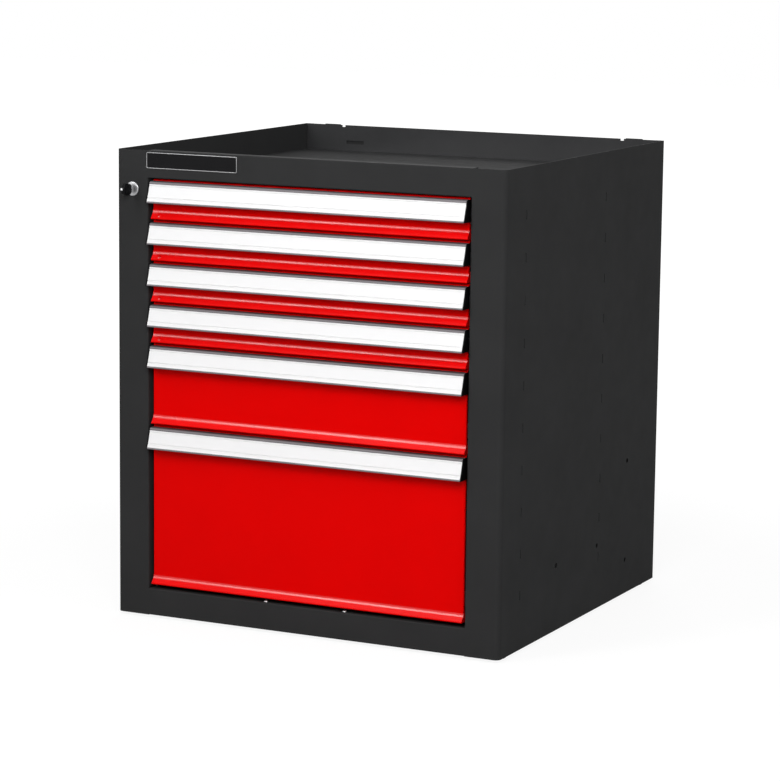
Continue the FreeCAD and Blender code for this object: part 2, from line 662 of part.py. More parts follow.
def make_lock_key():
    """Key in the lock: a moulded bow on a flat blade that ends in a ring lug."""
    body = new_piece("lock_key")
    bow = new_sketch(body, "YZ_Plane", LOCK_X)
    near = "-bow_gap"
    far = "-bow_gap - bow_length"
    rectangle(bow, far, f"{LOCK_Z} - bow_height / 2", near, f"{LOCK_Z} + bow_height / 2")
    extrude(body, bow, "bow_thickness", centred=True)
    half_height = "bow_height / 2"
    ends = [(LOCK_X, y, f"{LOCK_Z} + {side} * {half_height}") for side in SIDES for y in (near, far)]
    round_edges(body, "bow_round * 2", *ends)
    middle = "-bow_gap - bow_length / 2"
    rims = [(f"{LOCK_X} + {side} * bow_thickness / 2", middle, f"{LOCK_Z} + {half_height}")
            for side in SIDES]
    round_edges(body, "bow_round / 2", *rims)
    blade = new_sketch(body, "YZ_Plane", LOCK_X)
    rectangle(blade, f"-{KEY_REACH}", f"{LOCK_Z} - blade_height / 2", "blade_depth",
              f"{LOCK_Z} + blade_height / 2")
    extrude(body, blade, "blade_thickness", centred=True)
    hole = new_sketch(body, "YZ_Plane", LOCK_X)
    ring(hole, f"-{KEY_REACH} + key_tail / 2", LOCK_Z, "key_hole_radius")
    cut(body, hole)


def make_lock_cam():
    """Cam on the plug's square. Unlocked, its pin points down towards the opening."""
    body = new_piece("lock_cam", y=f"{FRONT_Y} + {PLUG_REAR}", z=f"foot_height + {LOCK_Z}")
    body.setExpression(".Placement.Base.x", formula(LOCK_X))
    body.Placement.Rotation = FreeCAD.Rotation(FreeCAD.Vector(0, 1, 0), 45)
    disc = new_sketch(body, "XZ_Plane")
    ring(disc, "0", "0", "cam_radius")
    extrude(body, disc, "cam_sheet", backwards=True)
    arm = new_sketch(body, "XZ_Plane")
    rectangle(arm, "0", "-cam_radius / 2", "cam_reach + 2 * cam_pin_radius", "cam_radius / 2")
    extrude(body, arm, "cam_sheet", backwards=True)
    square = new_sketch(body, "XZ_Plane")
    half_square = "(tang_width / 2 + running_play)"
    corner = f"{half_square} * sqrt(2)"
    outline(square, [(f"{corner} * cos({turn})", f"{corner} * sin({turn})") for turn in range(0, 360, 90)])
    cut(body, square)
    pin = new_sketch(body, "XZ_Plane", "-cam_sheet")
    ring(pin, "cam_reach", "0", "cam_pin_radius")
    extrude(body, pin, "cam_pin_length", backwards=True)


# Height of the cam pin above the casing's underside when unlocked.
PIN_Z = f"({LOCK_Z} - cam_reach * sin(45))"
HALF_YOKE = "(cam_pin_radius + yoke_play)"


def make_lock_bar():
    """Upright bar behind the left upright; its yoke holds the cam pin."""
    body = new_piece("lock_bar")
    bar_outer = f"{BAR_INNER} - bar_width"
    ear = f"{LOCK_X} - cam_pin_radius"
    bottom = f"{space_bottom(len(STEPS) - 1)} - bar_tail"
    ear_low = f"{PIN_Z} - {HALF_YOKE} - yoke_wall"
    ear_high = f"{PIN_Z} + {HALF_YOKE} + yoke_wall"
    plate = new_sketch(body, "XZ_Plane", "-bar_setback")
    outline(plate, [(BAR_INNER, bottom), (BAR_INNER, ear_high), (ear, ear_high), (ear, ear_low),
                    (bar_outer, ear_low), (bar_outer, bottom)])
    extrude(body, plate, "bar_sheet", backwards=True)
    slot = new_sketch(body, "XZ_Plane")
    rectangle(slot, f"{LOCK_X} + cam_reach * cos(45) - {HALF_YOKE}", f"{PIN_Z} - {HALF_YOKE}",
              f"{LOCK_X} + cam_reach + {HALF_YOKE}", f"{PIN_Z} + {HALF_YOKE}")
    cut(body, slot)


def make_lock_hooks():
    """One hook on the bar for each drawer, below its catch while unlocked."""
    body = new_piece("lock_hooks")
    profile = new_sketch(body, "XZ_Plane", "hook_sheet - bar_setback")
    for drawer in DRAWERS:
        rest = f"{space_bottom(drawer)} + hook_rest"
        rectangle(profile, f"{BAR_INNER} - hook_overlap", rest, f"-{HALF_OPENING} + hook_reach",
                  f"{rest} + hook_height")
    extrude(body, profile, "hook_sheet", backwards=True)


def make_lock_bar_guides():
    """Two slotted brackets on the left side panel that guide the lock bar."""
    body = new_piece("lock_bar_guides")
    near = "bar_setback + bar_sheet / 2 - guide_depth / 2"
    wall = f"-{HALF_INSIDE}"
    bar_outer = f"{BAR_INNER} - bar_width"
    for drawer, steps in ((2, 0.5), (5, 1.5)):
        height = f"{space_bottom(drawer)} + {steps} * module"
        plate = new_sketch(body, "XY_Plane", height)
        rectangle(plate, wall, near, f"-{SLIDE_SEAT}", f"{near} + guide_depth")
        rectangle(plate, f"{bar_outer} - guide_play", "bar_setback - guide_play",
                  f"{BAR_INNER} + guide_play", "bar_setback + bar_sheet + guide_play")
        extrude(body, plate, "guide_sheet")
        flange = new_sketch(body, "XY_Plane", height)
        rectangle(flange, wall, near, f"{wall} + guide_sheet", f"{near} + guide_depth")
        extrude(body, flange, "guide_flange")


# Drawers

def new_drawer_piece(label, drawer):
    """A piece of one drawer, placed on the bottom of the drawer's own space."""
    return new_piece(label, z=f"foot_height + {space_bottom(drawer)}")


def make_drawer_box(drawer):
    """Folded tub with a turned-in rim and divider slots in its side walls."""
    body = new_drawer_piece(f"drawer_{drawer + 1}_box", drawer)
    rim_top = f"({STEPS[drawer]} * module - box_headroom)"
    height = f"({rim_top} - {BOX_BOTTOM})"
    block = new_sketch(body, "XY_Plane", BOX_BOTTOM)
    rectangle(block, f"-{HALF_BOX}", BOX_FRONT, HALF_BOX, BOX_REAR)
    extrude(body, block, height)
    hollow = new_sketch(body, "XY_Plane", f"{BOX_BOTTOM} + drawer_sheet")
    rectangle(hollow, f"-{HALF_BOX} + drawer_sheet", f"{BOX_FRONT} + drawer_sheet",
              f"{HALF_BOX} - drawer_sheet", f"{BOX_REAR} - drawer_sheet")
    cut(body, hollow, f"{height} - 2 * drawer_sheet", backwards=True)
    mouth = new_sketch(body, "XY_Plane", rim_top)
    rectangle(mouth, f"-{HALF_BOX} + drawer_rim", f"{BOX_FRONT} + drawer_rim",
              f"{HALF_BOX} - drawer_rim", f"{BOX_REAR} - drawer_rim")
    cut(body, mouth, "2 * drawer_sheet")
    slot = new_sketch(body, "YZ_Plane")
    rectangle(slot, f"{BOX_FRONT} + divider_start - divider_slot / 2", f"{BOX_BOTTOM} + divider_margin",
              f"{BOX_FRONT} + divider_start + divider_slot / 2", f"{rim_top} - divider_margin")
    first_slot = cut(body, slot)
    room = number(f"{BOX_REAR} - {BOX_FRONT} - 2 * divider_start")
    repeat(body, [first_slot], "Y_Axis", "divider_pitch", 1 + int(room / number("divider_pitch")))


def make_drawer_front(drawer):
    """Painted front: face, lip that leans out at the bottom, and returns all round."""
    body = new_drawer_piece(f"drawer_{drawer + 1}_front", drawer)
    top = f"({STEPS[drawer]} * module + front_overlap)"
    rear = "(face_setback + front_flange)"
    lip_front = "(face_setback - lip_reach)"
    lean = "atan(lip_reach / lip_height)"
    profile = new_sketch(body, "YZ_Plane")
    outline(profile, [
        (rear, top),
        ("face_setback", top),
        ("face_setback", LIP_TOP),
        (lip_front, "lip_bottom"),
        (rear, "lip_bottom"),
        (rear, BOX_BOTTOM),
        (f"{lip_front} + front_sheet / tan(45 deg - {lean} / 2)", BOX_BOTTOM),
        (BOX_FRONT, f"{LIP_TOP} - front_sheet * tan({lean} / 2)"),
        (BOX_FRONT, f"{top} - front_sheet"),
        (rear, f"{top} - front_sheet"),
    ])
    extrude(body, profile, f"2 * {HALF_FRONT}", centred=True)
    round_edges(body, "fold_radius", ("0", "face_setback", top), ("0", "face_setback", LIP_TOP))
    round_edges(body, "lip_radius", ("0", lip_front, "lip_bottom"))
    returns = new_sketch(body, "XZ_Plane", "-face_setback - fold_radius")
    for side in SIDES:
        inner, outer = (f"{side} * ({HALF_FRONT} - front_sheet)", f"{side} * {HALF_FRONT}")
        low, high = (inner, outer) if side > 0 else (outer, inner)
        rectangle(returns, low, LIP_TOP, high, f"{top} - front_sheet / 2")
    extrude(body, returns, "front_flange - fold_radius", backwards=True)


def handle_points():
    """Corners of the handle's section, from the top of its leg and out to the lower edge."""
    inner_round = "(handle_round - handle_wall)"
    return {
        "round_start": ("-(handle_top - handle_round)", "0"),
        "round_end": ("-handle_top", "-handle_round"),
        "tip": ("-handle_tip", "-handle_height"),
        "tip_rear": ("-handle_tip + handle_cut", "-handle_height"),
        "hollow_top": ("-handle_top + handle_wall", "-handle_round"),
        "inner_round": (f"-handle_top + handle_wall + {inner_round}", "-handle_wall"),
        "leg_inner": ("-handle_wall", "-handle_wall"),
        "leg_foot": ("-handle_wall", "-handle_leg"),
        "leg_rear": ("0", "-handle_leg"),
    }


def make_drawer_handle(drawer):
    """Full-width extrusion with a leg on the front, a rounded top and a hollow plate that flares out,
    and its two end caps: a plug in the extrusion behind a plate that closes the gap to the front."""
    seat_z = f"foot_height + {space_bottom(drawer)} + {STEPS[drawer]} * module - handle_drop"
    seat_y = f"{FRONT_Y} + face_setback"
    at = handle_points()
    inner_round = "handle_round - handle_wall"
    handle = new_piece(f"drawer_{drawer + 1}_handle", y=seat_y, z=seat_z)
    profile = new_sketch(handle, "YZ_Plane")
    outline(profile, [
        ("0", "0"),
        at["round_start"] + ("handle_round",),
        at["round_end"] + ("-handle_sweep",),
        at["tip"],
        at["tip_rear"] + ("handle_sweep + handle_wall",),
        at["hollow_top"] + (f"-({inner_round})",),
        at["inner_round"],
        at["leg_inner"],
        at["leg_foot"],
        at["leg_rear"],
    ])
    extrude(handle, profile, f"2 * {HALF_HANDLE}", centred=True)
    caps = new_piece(f"drawer_{drawer + 1}_end_caps", y=seat_y, z=seat_z)
    section = new_sketch(caps, "YZ_Plane", f"{HALF_HANDLE} - cap_length")
    outline(section, [
        at["leg_inner"],
        at["inner_round"] + (inner_round,),
        at["hollow_top"] + ("-(handle_sweep + handle_wall)",),
        at["tip_rear"],
        ("0", "-handle_height"),
        at["leg_rear"],
        at["leg_foot"],
    ])
    right_plug = extrude(caps, section, "cap_length")
    side_view = new_sketch(caps, "YZ_Plane", HALF_HANDLE)
    outline(side_view, [
        ("0", "0"),
        at["round_start"] + ("handle_round",),
        at["round_end"] + ("-handle_sweep",),
        at["tip"],
        ("0", "-handle_height"),
    ])
    right_plate = extrude(caps, side_view, "cap_plate")
    mirror(caps, [right_plug, right_plate])


def runner_channel(body, sketch, side, web, depth, inset, opens):
    """One channel member: its web's seat, its flanges' depth and its inset in the cabinet member."""
    low = f"{SLIDE_BOTTOM} + {inset}"
    high = f"{SLIDE_BOTTOM} + slide_height - ({inset})"
    seat = f"{side} * ({web})"
    edge = f"{side} * ({web} + {opens} * {depth})"
    path = [(edge, high), (seat, high), (seat, low), (edge, low)]
    folded_sheet(sketch, path, f"{opens * side} * slide_sheet")


def make_runners(drawer):
    """Left and right runner of a drawer: cabinet member, middle member, and drawer member with the
    catch."""
    middle_seat = f"{SLIDE_SEAT} - slide_sheet - web_play"
    nesting = "(slide_sheet + slide_play)"
    members = (
        ("outer", SLIDE_SEAT, "outer_depth", "0", -1),
        ("middle", middle_seat, "middle_depth", nesting, -1),
        ("inner", HALF_BOX, "inner_depth", f"2 * {nesting}", 1),
    )
    for member, web, depth, inset, opens in members:
        body = new_drawer_piece(f"slide_{drawer + 1}_{member}", drawer)
        profile = new_sketch(body, "XZ_Plane", "-slide_start")
        for side in SIDES:
            runner_channel(body, profile, side, web, depth, inset, opens)
        extrude(body, profile, f"{BOX_REAR} - slide_start", backwards=True)
    catch = new_sketch(body, "XZ_Plane", "-(bar_setback + catch_gap)")
    rectangle(catch, f"-{HALF_BOX} - catch_reach", "catch_rise",
              f"-{HALF_BOX}", "catch_rise + catch_height")
    extrude(body, catch, "catch_sheet", backwards=True)


def make_drawer(drawer):
    make_drawer_box(drawer)
    make_drawer_front(drawer)
    make_drawer_handle(drawer)
    make_runners(drawer)


make_side_panels()
make_back_panel()
make_base_pan()
make_top_tray()
make_rails()
make_rail_screws()
make_posts()
make_feet()
make_badge_plate()
make_lock_housing()
make_lock_plug()
make_lock_key()
make_lock_cam()
make_lock_bar()
make_lock_hooks()
make_lock_bar_guides()
for drawer in DRAWERS:
    make_drawer(drawer)
document.recompute()

for item in document.Objects:
    if "Invalid" in item.State or "Error" in item.State:
        raise ValueError(f"{item.Name} did not build: {item.State}")
for body in sub_parts:
    if body.Shape.isNull() or not body.Shape.isValid():
        raise ValueError(f"{body.Label} has no valid solid")

os.makedirs("parts", exist_ok=True)
for body in sub_parts:
    body.Shape.exportStep(f"parts/{body.Label}.step")
print(f"{len(sub_parts)} sub-parts written")
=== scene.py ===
import math

import bmesh
import bpy
import numpy as np
from mathutils import Matrix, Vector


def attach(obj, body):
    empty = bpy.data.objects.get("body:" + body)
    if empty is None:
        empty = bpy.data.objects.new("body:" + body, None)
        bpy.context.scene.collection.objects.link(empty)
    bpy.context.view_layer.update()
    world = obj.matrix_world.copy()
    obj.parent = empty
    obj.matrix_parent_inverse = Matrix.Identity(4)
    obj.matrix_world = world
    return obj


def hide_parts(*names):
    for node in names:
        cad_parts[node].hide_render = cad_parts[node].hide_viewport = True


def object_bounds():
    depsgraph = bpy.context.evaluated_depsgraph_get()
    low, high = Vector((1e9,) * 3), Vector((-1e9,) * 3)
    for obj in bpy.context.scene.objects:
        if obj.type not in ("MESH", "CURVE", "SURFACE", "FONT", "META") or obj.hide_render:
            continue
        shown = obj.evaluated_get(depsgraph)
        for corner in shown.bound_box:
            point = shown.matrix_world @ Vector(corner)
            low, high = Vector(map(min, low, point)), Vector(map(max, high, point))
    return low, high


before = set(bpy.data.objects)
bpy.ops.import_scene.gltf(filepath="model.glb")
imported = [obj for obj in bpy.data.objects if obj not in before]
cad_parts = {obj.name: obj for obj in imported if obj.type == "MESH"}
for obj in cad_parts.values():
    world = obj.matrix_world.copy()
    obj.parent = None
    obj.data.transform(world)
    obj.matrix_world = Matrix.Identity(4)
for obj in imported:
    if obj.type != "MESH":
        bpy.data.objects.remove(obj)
cad_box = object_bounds()

# Driving sizes of the casing and the drawer stack, in metres.
MM = 0.001
BODY_DEPTH = 690 * MM
BODY_HEIGHT = 800 * MM
PANEL_SHEET = 1.5 * MM
FOOT_HEIGHT = 5 * MM
STILE_WIDTH = 62 * MM
BOTTOM_RAIL = 47 * MM
STACK_PLAY = 3 * MM
STEP = 70 * MM
STEPS = (1, 1, 1, 1, 2, 4)
DRAWERS = range(1, len(STEPS) + 1)

# Places worked out from those sizes and from the box round all solids.
LEFT = cad_box[0][0]
RIGHT = cad_box[1][0]
KEY_END = cad_box[0][1]
BACK = cad_box[1][1]
FRONT = BACK - BODY_DEPTH
UNDERSIDE = FOOT_HEIGHT
TOP = UNDERSIDE + BODY_HEIGHT
RAIL_TOP = UNDERSIDE + BOTTOM_RAIL
STACK_BOTTOM = RAIL_TOP + STACK_PLAY
HALF_OPENING = RIGHT - STILE_WIDTH


def space(number):
    """Bottom and top of one drawer's space in the stack; drawer 1 is the highest."""
    bottom = STACK_BOTTOM + STEP * sum(STEPS[number:])
    return bottom, bottom + STEP * STEPS[number - 1]


# Finishes

# Noise stays near its middle, so colours and gloss are spread over this part of its range.
NOISE_LOW = 0.3
NOISE_HIGH = 0.7

# Widths of the patterns in the finishes, and depths of their relief.
COAT_DRIFT_WIDTH = 110 * MM
COAT_PATCH_WIDTH = 30 * MM
PEEL_WIDTH = 1.1 * MM
PEEL_DEPTH = 0.06 * MM
DRAWN_LINE_WIDTH = 0.9 * MM
DRAWN_LINE_STRETCH = 0.012
DRAWN_LINE_DEPTH = 0.02 * MM
ZINC_CLOUD_WIDTH = 12 * MM
ZINC_GRAIN_WIDTH = 0.7 * MM
ZINC_GRAIN_DEPTH = 0.02 * MM
MOULDED_SHADE_WIDTH = 20 * MM
MOULDED_PATCH_WIDTH = 6 * MM
SPARK_GRAIN_WIDTH = 0.5 * MM
SPARK_GRAIN_DEPTH = 0.04 * MM
CHROME_HAZE_WIDTH = 4 * MM


def new_material(name):
    """A material with its nodes, its links and its main shader."""
    material = bpy.data.materials.new(name)
    material.use_nodes = True
    nodes = material.node_tree.nodes
    links = material.node_tree.links
    shader = nodes["Principled BSDF"]
    return material, nodes, links, shader


def grain(nodes, links, size, stretch=(1, 1, 1), detail=3.0, roughness=0.55):
    """Noise whose spots are about as wide as size, drawn out along an axis by stretch."""
    place = nodes.new("ShaderNodeTexCoord")
    mapping = nodes.new("ShaderNodeMapping")
    mapping.inputs["Scale"].default_value = stretch
    noise = nodes.new("ShaderNodeTexNoise")
    noise.inputs["Scale"].default_value = 1 / size
    noise.inputs["Detail"].default_value = detail
    noise.inputs["Roughness"].default_value = roughness
    links.new(place.outputs["Object"], mapping.inputs["Vector"])
    links.new(mapping.outputs["Vector"], noise.inputs["Vector"])
    return noise.outputs["Fac"]


def spread(nodes, links, value, low, high):
    """The noise spread from its own middle range to low and high."""
    node = nodes.new("ShaderNodeMapRange")
    node.inputs["From Min"].default_value = NOISE_LOW
    node.inputs["From Max"].default_value = NOISE_HIGH
    node.inputs["To Min"].default_value = low
    node.inputs["To Max"].default_value = high
    links.new(value, node.inputs["Value"])
    return node.outputs["Result"]


def shade_of(nodes, links, value, dark, light):
    """A colour between dark and light, chosen by the noise."""
    ramp = nodes.new("ShaderNodeValToRGB")
    ramp.color_ramp.elements[0].position = NOISE_LOW
    ramp.color_ramp.elements[0].color = (*dark, 1)
    ramp.color_ramp.elements[1].position = NOISE_HIGH
    ramp.color_ramp.elements[1].color = (*light, 1)
    links.new(value, ramp.inputs["Fac"])
    return ramp.outputs["Color"]


def relief(nodes, links, shader, value, depth, strength):
    """The noise as fine unevenness of the surface."""
    bump = nodes.new("ShaderNodeBump")
    bump.inputs["Distance"].default_value = depth
    bump.inputs["Strength"].default_value = strength
    links.new(value, bump.inputs["Height"])
    links.new(bump.outputs["Normal"], shader.inputs["Normal"])


def scaled(colour, share):
    """The colour with each of its parts times the share."""
    return [part * share for part in colour]


def powder_coat(name, colour, rough, gloss, drift=0.06, peel=0.35):
    """Powder coat: orange peel a millimetre wide, and colour and gloss that drift over a hand's width."""
    material, nodes, links, shader = new_material(name)
    hand = grain(nodes, links, COAT_DRIFT_WIDTH)
    shade = shade_of(nodes, links, hand, scaled(colour, 1 - drift), scaled(colour, 1 + drift))
    links.new(shade, shader.inputs["Base Color"])
    patches = grain(nodes, links, COAT_PATCH_WIDTH)
    links.new(spread(nodes, links, patches, rough - 0.04, rough + 0.04), shader.inputs["Roughness"])
    shader.inputs["Specular IOR Level"].default_value = gloss
    relief(nodes, links, shader, grain(nodes, links, PEEL_WIDTH, detail=1.5), PEEL_DEPTH, peel)
    return material


def drawn_metal(name, colour, rough, along, drift=0.05, metallic=1.0, gloss=0.5):
    """Drawn or brushed metal: fine lines that run along one axis, in the colour, the gloss and the
    surface. Matt anodising and film hide the metal, so they have metallic 0 and a gloss of their own."""
    material, nodes, links, shader = new_material(name)
    shader.inputs["Metallic"].default_value = metallic
    shader.inputs["Specular IOR Level"].default_value = gloss
    stretch = [DRAWN_LINE_STRETCH if axis == along else 1 for axis in "XYZ"]
    lines = grain(nodes, links, DRAWN_LINE_WIDTH, stretch, detail=2.0)
    shade = shade_of(nodes, links, lines, scaled(colour, 1 - drift), colour)
    links.new(shade, shader.inputs["Base Color"])
    links.new(spread(nodes, links, lines, rough - 0.05, rough + 0.06), shader.inputs["Roughness"])
    relief(nodes, links, shader, lines, DRAWN_LINE_DEPTH, 0.25)
    return material


def zinc_plate(name, colour, rough):
    """Zinc-plated steel: cloudy patches about a centimetre wide over a fine grain."""
    material, nodes, links, shader = new_material(name)
    shader.inputs["Metallic"].default_value = 1.0
    clouds = grain(nodes, links, ZINC_CLOUD_WIDTH, detail=4.0)
    links.new(shade_of(nodes, links, clouds, scaled(colour, 0.82), colour), shader.inputs["Base Color"])
    links.new(spread(nodes, links, clouds, rough + 0.07, rough - 0.05), shader.inputs["Roughness"])
    relief(nodes, links, shader, grain(nodes, links, ZINC_GRAIN_WIDTH), ZINC_GRAIN_DEPTH, 0.3)
    return material


def moulded(name, colour, rough, gloss):
    """Moulded plastic or rubber with a fine spark-eroded grain."""
    material, nodes, links, shader = new_material(name)
    light = [part * 1.35 + 0.001 for part in colour]
    shade = shade_of(nodes, links, grain(nodes, links, MOULDED_SHADE_WIDTH), colour, light)
    links.new(shade, shader.inputs["Base Color"])
    patches = grain(nodes, links, MOULDED_PATCH_WIDTH)
    links.new(spread(nodes, links, patches, rough - 0.05, rough + 0.05), shader.inputs["Roughness"])
    shader.inputs["Specular IOR Level"].default_value = gloss
    relief(nodes, links, shader, grain(nodes, links, SPARK_GRAIN_WIDTH, detail=1.0), SPARK_GRAIN_DEPTH, 0.4)
    return material


def polished(name, colour, rough):
    """Chrome with the faint haze of handling."""
    material, nodes, links, shader = new_material(name)
    shader.inputs["Metallic"].default_value = 1.0
    haze = grain(nodes, links, CHROME_HAZE_WIDTH, detail=4.0)
    links.new(shade_of(nodes, links, haze, scaled(colour, 0.93), colour), shader.inputs["Base Color"])
    links.new(spread(nodes, links, haze, rough, rough + 0.08), shader.inputs["Roughness"])
    return material


ANTHRACITE = (0.0260, 0.0262, 0.0266)
# Lighter anthracite for the back panel: painted light, for the back wall that is brighter inside the top
# recess.
PAINTED_LIGHT_BACK_ANTHRACITE = (0.038, 0.0382, 0.0395)
DRAWER_GREY = (0.050, 0.052, 0.055)
SIGNAL_RED = (0.61, 0.0002, 0.0002)
# Lighter red for the lips: painted light and a little painted sheen, the same red as the faces lit more
# from above.
PAINTED_LIGHT_LIP_RED = (0.70, 0.0025, 0.0028)
SATIN_SILVER = (0.70, 0.70, 0.702)
FILM_SILVER = (0.70, 0.70, 0.705)
# Dark grey for the handle's rounded top and lower edge: painted shade under the lip and a painted dark
# reflection at the lower edge.
PAINTED_SHADE_GREY = (0.125, 0.116, 0.122)

casing_coat = powder_coat("anthracite_powder_coat", ANTHRACITE, 0.45, 0.005)
# The back panel's coat: painted light, a lighter copy of the casing's anthracite, with more gloss.
back_painted_light_coat = powder_coat("anthracite_back_coat_painted_lighter", PAINTED_LIGHT_BACK_ANTHRACITE, 0.14, 0.50)
inner_coat = powder_coat("drawer_box_powder_coat", DRAWER_GREY, 0.45, 0.35)
red_coat = powder_coat("red_powder_coat", SIGNAL_RED, 0.20, 0.02, drift=0.02, peel=0.15)
red_fold_coat = powder_coat("red_coat_over_folds", SIGNAL_RED, 0.24, 0.58, drift=0.02, peel=0.08)
# The lips' coat: painted light, a lighter copy of the face red.
red_lip_painted_light_coat = powder_coat("red_coat_painted_lighter_on_lips", PAINTED_LIGHT_LIP_RED, 0.26, 0.05, drift=0.02, peel=0.10)
handle_metal = drawn_metal("anodised_handle", SATIN_SILVER, 0.50, "X", 0.03, metallic=0.0, gloss=0.08)
# Painted shade and painted dark reflection on the handle's rounded top and lower edge.
handle_painted_shade = drawn_metal("handle_painted_shade_metal", PAINTED_SHADE_GREY, 0.55, "X")
strip_film = drawn_metal("label_strip_film", FILM_SILVER, 0.42, "X", 0.015, metallic=0.0, gloss=0.10)
runner_metal = zinc_plate("zinc_plated_steel", (0.62, 0.63, 0.65), 0.34)
screw_metal = zinc_plate("bright_screw_zinc", (0.72, 0.72, 0.73), 0.26)
lock_metal = polished("lock_chrome", (0.40, 0.40, 0.41), 0.36)
cap_plastic = moulded("handle_cap_plastic", (0.0012, 0.0012, 0.0014), 0.50, 0.03)
foot_rubber = moulded("foot_plastic", (0.010, 0.010, 0.011), 0.60, 0.15)
key_plastic = moulded("key_bow_plastic", (0.0035, 0.0035, 0.004), 0.35, 0.05)
key_steel = drawn_metal("key_blade_steel", (0.72, 0.72, 0.73), 0.25, "Y")
badge_field = powder_coat("badge_field_enamel", (0.0065, 0.0065, 0.007), 0.30, 0.06)
badge_rim = drawn_metal("badge_rim_metal", (0.33, 0.33, 0.335), 0.36, "X")

NODE_FINISHES = {
    "side_panel_left": casing_coat,
    "side_panel_right": casing_coat,
    "back_panel": back_painted_light_coat,
    "base_pan": casing_coat,
    "top_tray": casing_coat,
    "top_rail": casing_coat,
    "bottom_rail": casing_coat,
    "runner_posts": casing_coat,
    "feet": foot_rubber,
    "badge_plate": badge_field,
    "lock_housing": lock_metal,
    "lock_plug": lock_metal,
    "lock_key": key_plastic,
    "lock_cam": runner_metal,
    "lock_bar": runner_metal,
    "lock_hooks": runner_metal,
    "lock_bar_guides": runner_metal,
    "rail_screws": screw_metal,
}
for number in DRAWERS:
    NODE_FINISHES[f"drawer_{number}_box"] = inner_coat
    NODE_FINISHES[f"drawer_{number}_front"] = red_coat
    NODE_FINISHES[f"drawer_{number}_handle"] = handle_metal
    NODE_FINISHES[f"drawer_{number}_end_caps"] = cap_plastic
    for member in ("outer", "middle", "inner"):
        NODE_FINISHES[f"slide_{number}_{member}"] = runner_metal


def coat_nodes():
    """Each solid's finish in every material slot that it has, or in a new one."""
    for node, finish in NODE_FINISHES.items():
        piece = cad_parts[node]
        for slot in piece.material_slots:
            slot.material = finish
        if not piece.material_slots:
            piece.data.materials.append(finish)


# Shapes

# Where a flat outline's two numbers and its third direction go, by the axis it is carried along.
PLACES = {"X": (1, 2, 0), "Y": (0, 2, 1), "Z": (0, 1, 2)}

LOBE_COUNT = 4
BEVEL_STEPS = 3
BEVEL_ANGLE = 40


def folded_line(corners, radii, steps=7):
    """Points along a line with rounded corners, and the unit normals on the line's left. Each corner
    gives an arc that touches both of its straight runs: centre plus or minus radius times the normal,
    while the heading turns evenly from one run's to the next one's."""
    corners = np.array(corners, float)
    headings = np.diff(corners, axis=0)
    headings /= np.linalg.norm(headings, axis=1)[:, None]
    normals = np.stack([-headings[:, 1], headings[:, 0]], axis=1)
    points = [corners[:1]]
    sides = [normals[:1]]
    for turn, radius in enumerate(radii, start=1):
        before, after = headings[turn - 1], headings[turn]
        sweep = math.atan2(before[0] * after[1] - before[1] * after[0], before @ after)
        reach = radius * abs(math.tan(sweep / 2))
        way = math.copysign(1, sweep)
        centre = corners[turn] - before * reach + normals[turn - 1] * radius * way
        angles = math.atan2(before[1], before[0]) + np.linspace(0, sweep, steps)
        arc_normals = np.stack([-np.sin(angles), np.cos(angles)], axis=1)
        points.append(centre - arc_normals * radius * way)
        sides.append(arc_normals)
    points.append(corners[-1:])
    sides.append(normals[-1:])
    return np.vstack(points), np.vstack(sides)


def sheet_section(corners, radii, wall, steps=7):
    """Closed outline of a folded sheet: the folded line, and back along it one wall to its left."""
    points, sides = folded_line(corners, radii, steps)
    return np.vstack([points, (points + sides * wall)[::-1]])


def rounded_outline(low, high, radius, steps=5):
    """Closed outline of a rectangle with round corners, and its outward unit normals: at each corner a
    quarter circle about the point one radius inside it."""
    angles = np.linspace(0, np.pi / 2, steps)
    turns = np.concatenate([angles + quarter * np.pi / 2 for quarter in range(4)])
    normals = np.stack([np.cos(turns), np.sin(turns)], axis=1)
    right, left, top, bottom = high[0] - radius, low[0] + radius, high[1] - radius, low[1] + radius
    centres = np.repeat([(right, top), (left, top), (left, bottom), (right, bottom)], steps, axis=0)
    return centres + radius * normals, normals


def arc(centre, radius, start, end, steps):
    """Points on a circle, from one angle to another in degrees."""
    angles = np.radians(np.linspace(start, end, steps))
    return np.array(centre) + radius * np.stack([np.cos(angles), np.sin(angles)], axis=1)


def carried(section, start, end, axis="X"):
    """Closed shell of an outline carried straight along one axis, with both ends closed. The outline's
    two numbers are Y and Z for X, X and Z for Y, X and Y for Z."""
    section = np.asarray(section, float)
    count = len(section)
    place = PLACES[axis]
    points = np.zeros((2, count, 3))
    points[:, :, place[0]] = section[:, 0]
    points[:, :, place[1]] = section[:, 1]
    points[0, :, place[2]] = start
    points[1, :, place[2]] = end
    near = np.arange(count)
    following = np.roll(near, -1)
    sides = np.stack([near, following, following + count, near + count], axis=1)
    faces = sides.tolist() + [near[::-1].tolist(), (near + count).tolist()]
    return points.reshape(-1, 3), faces


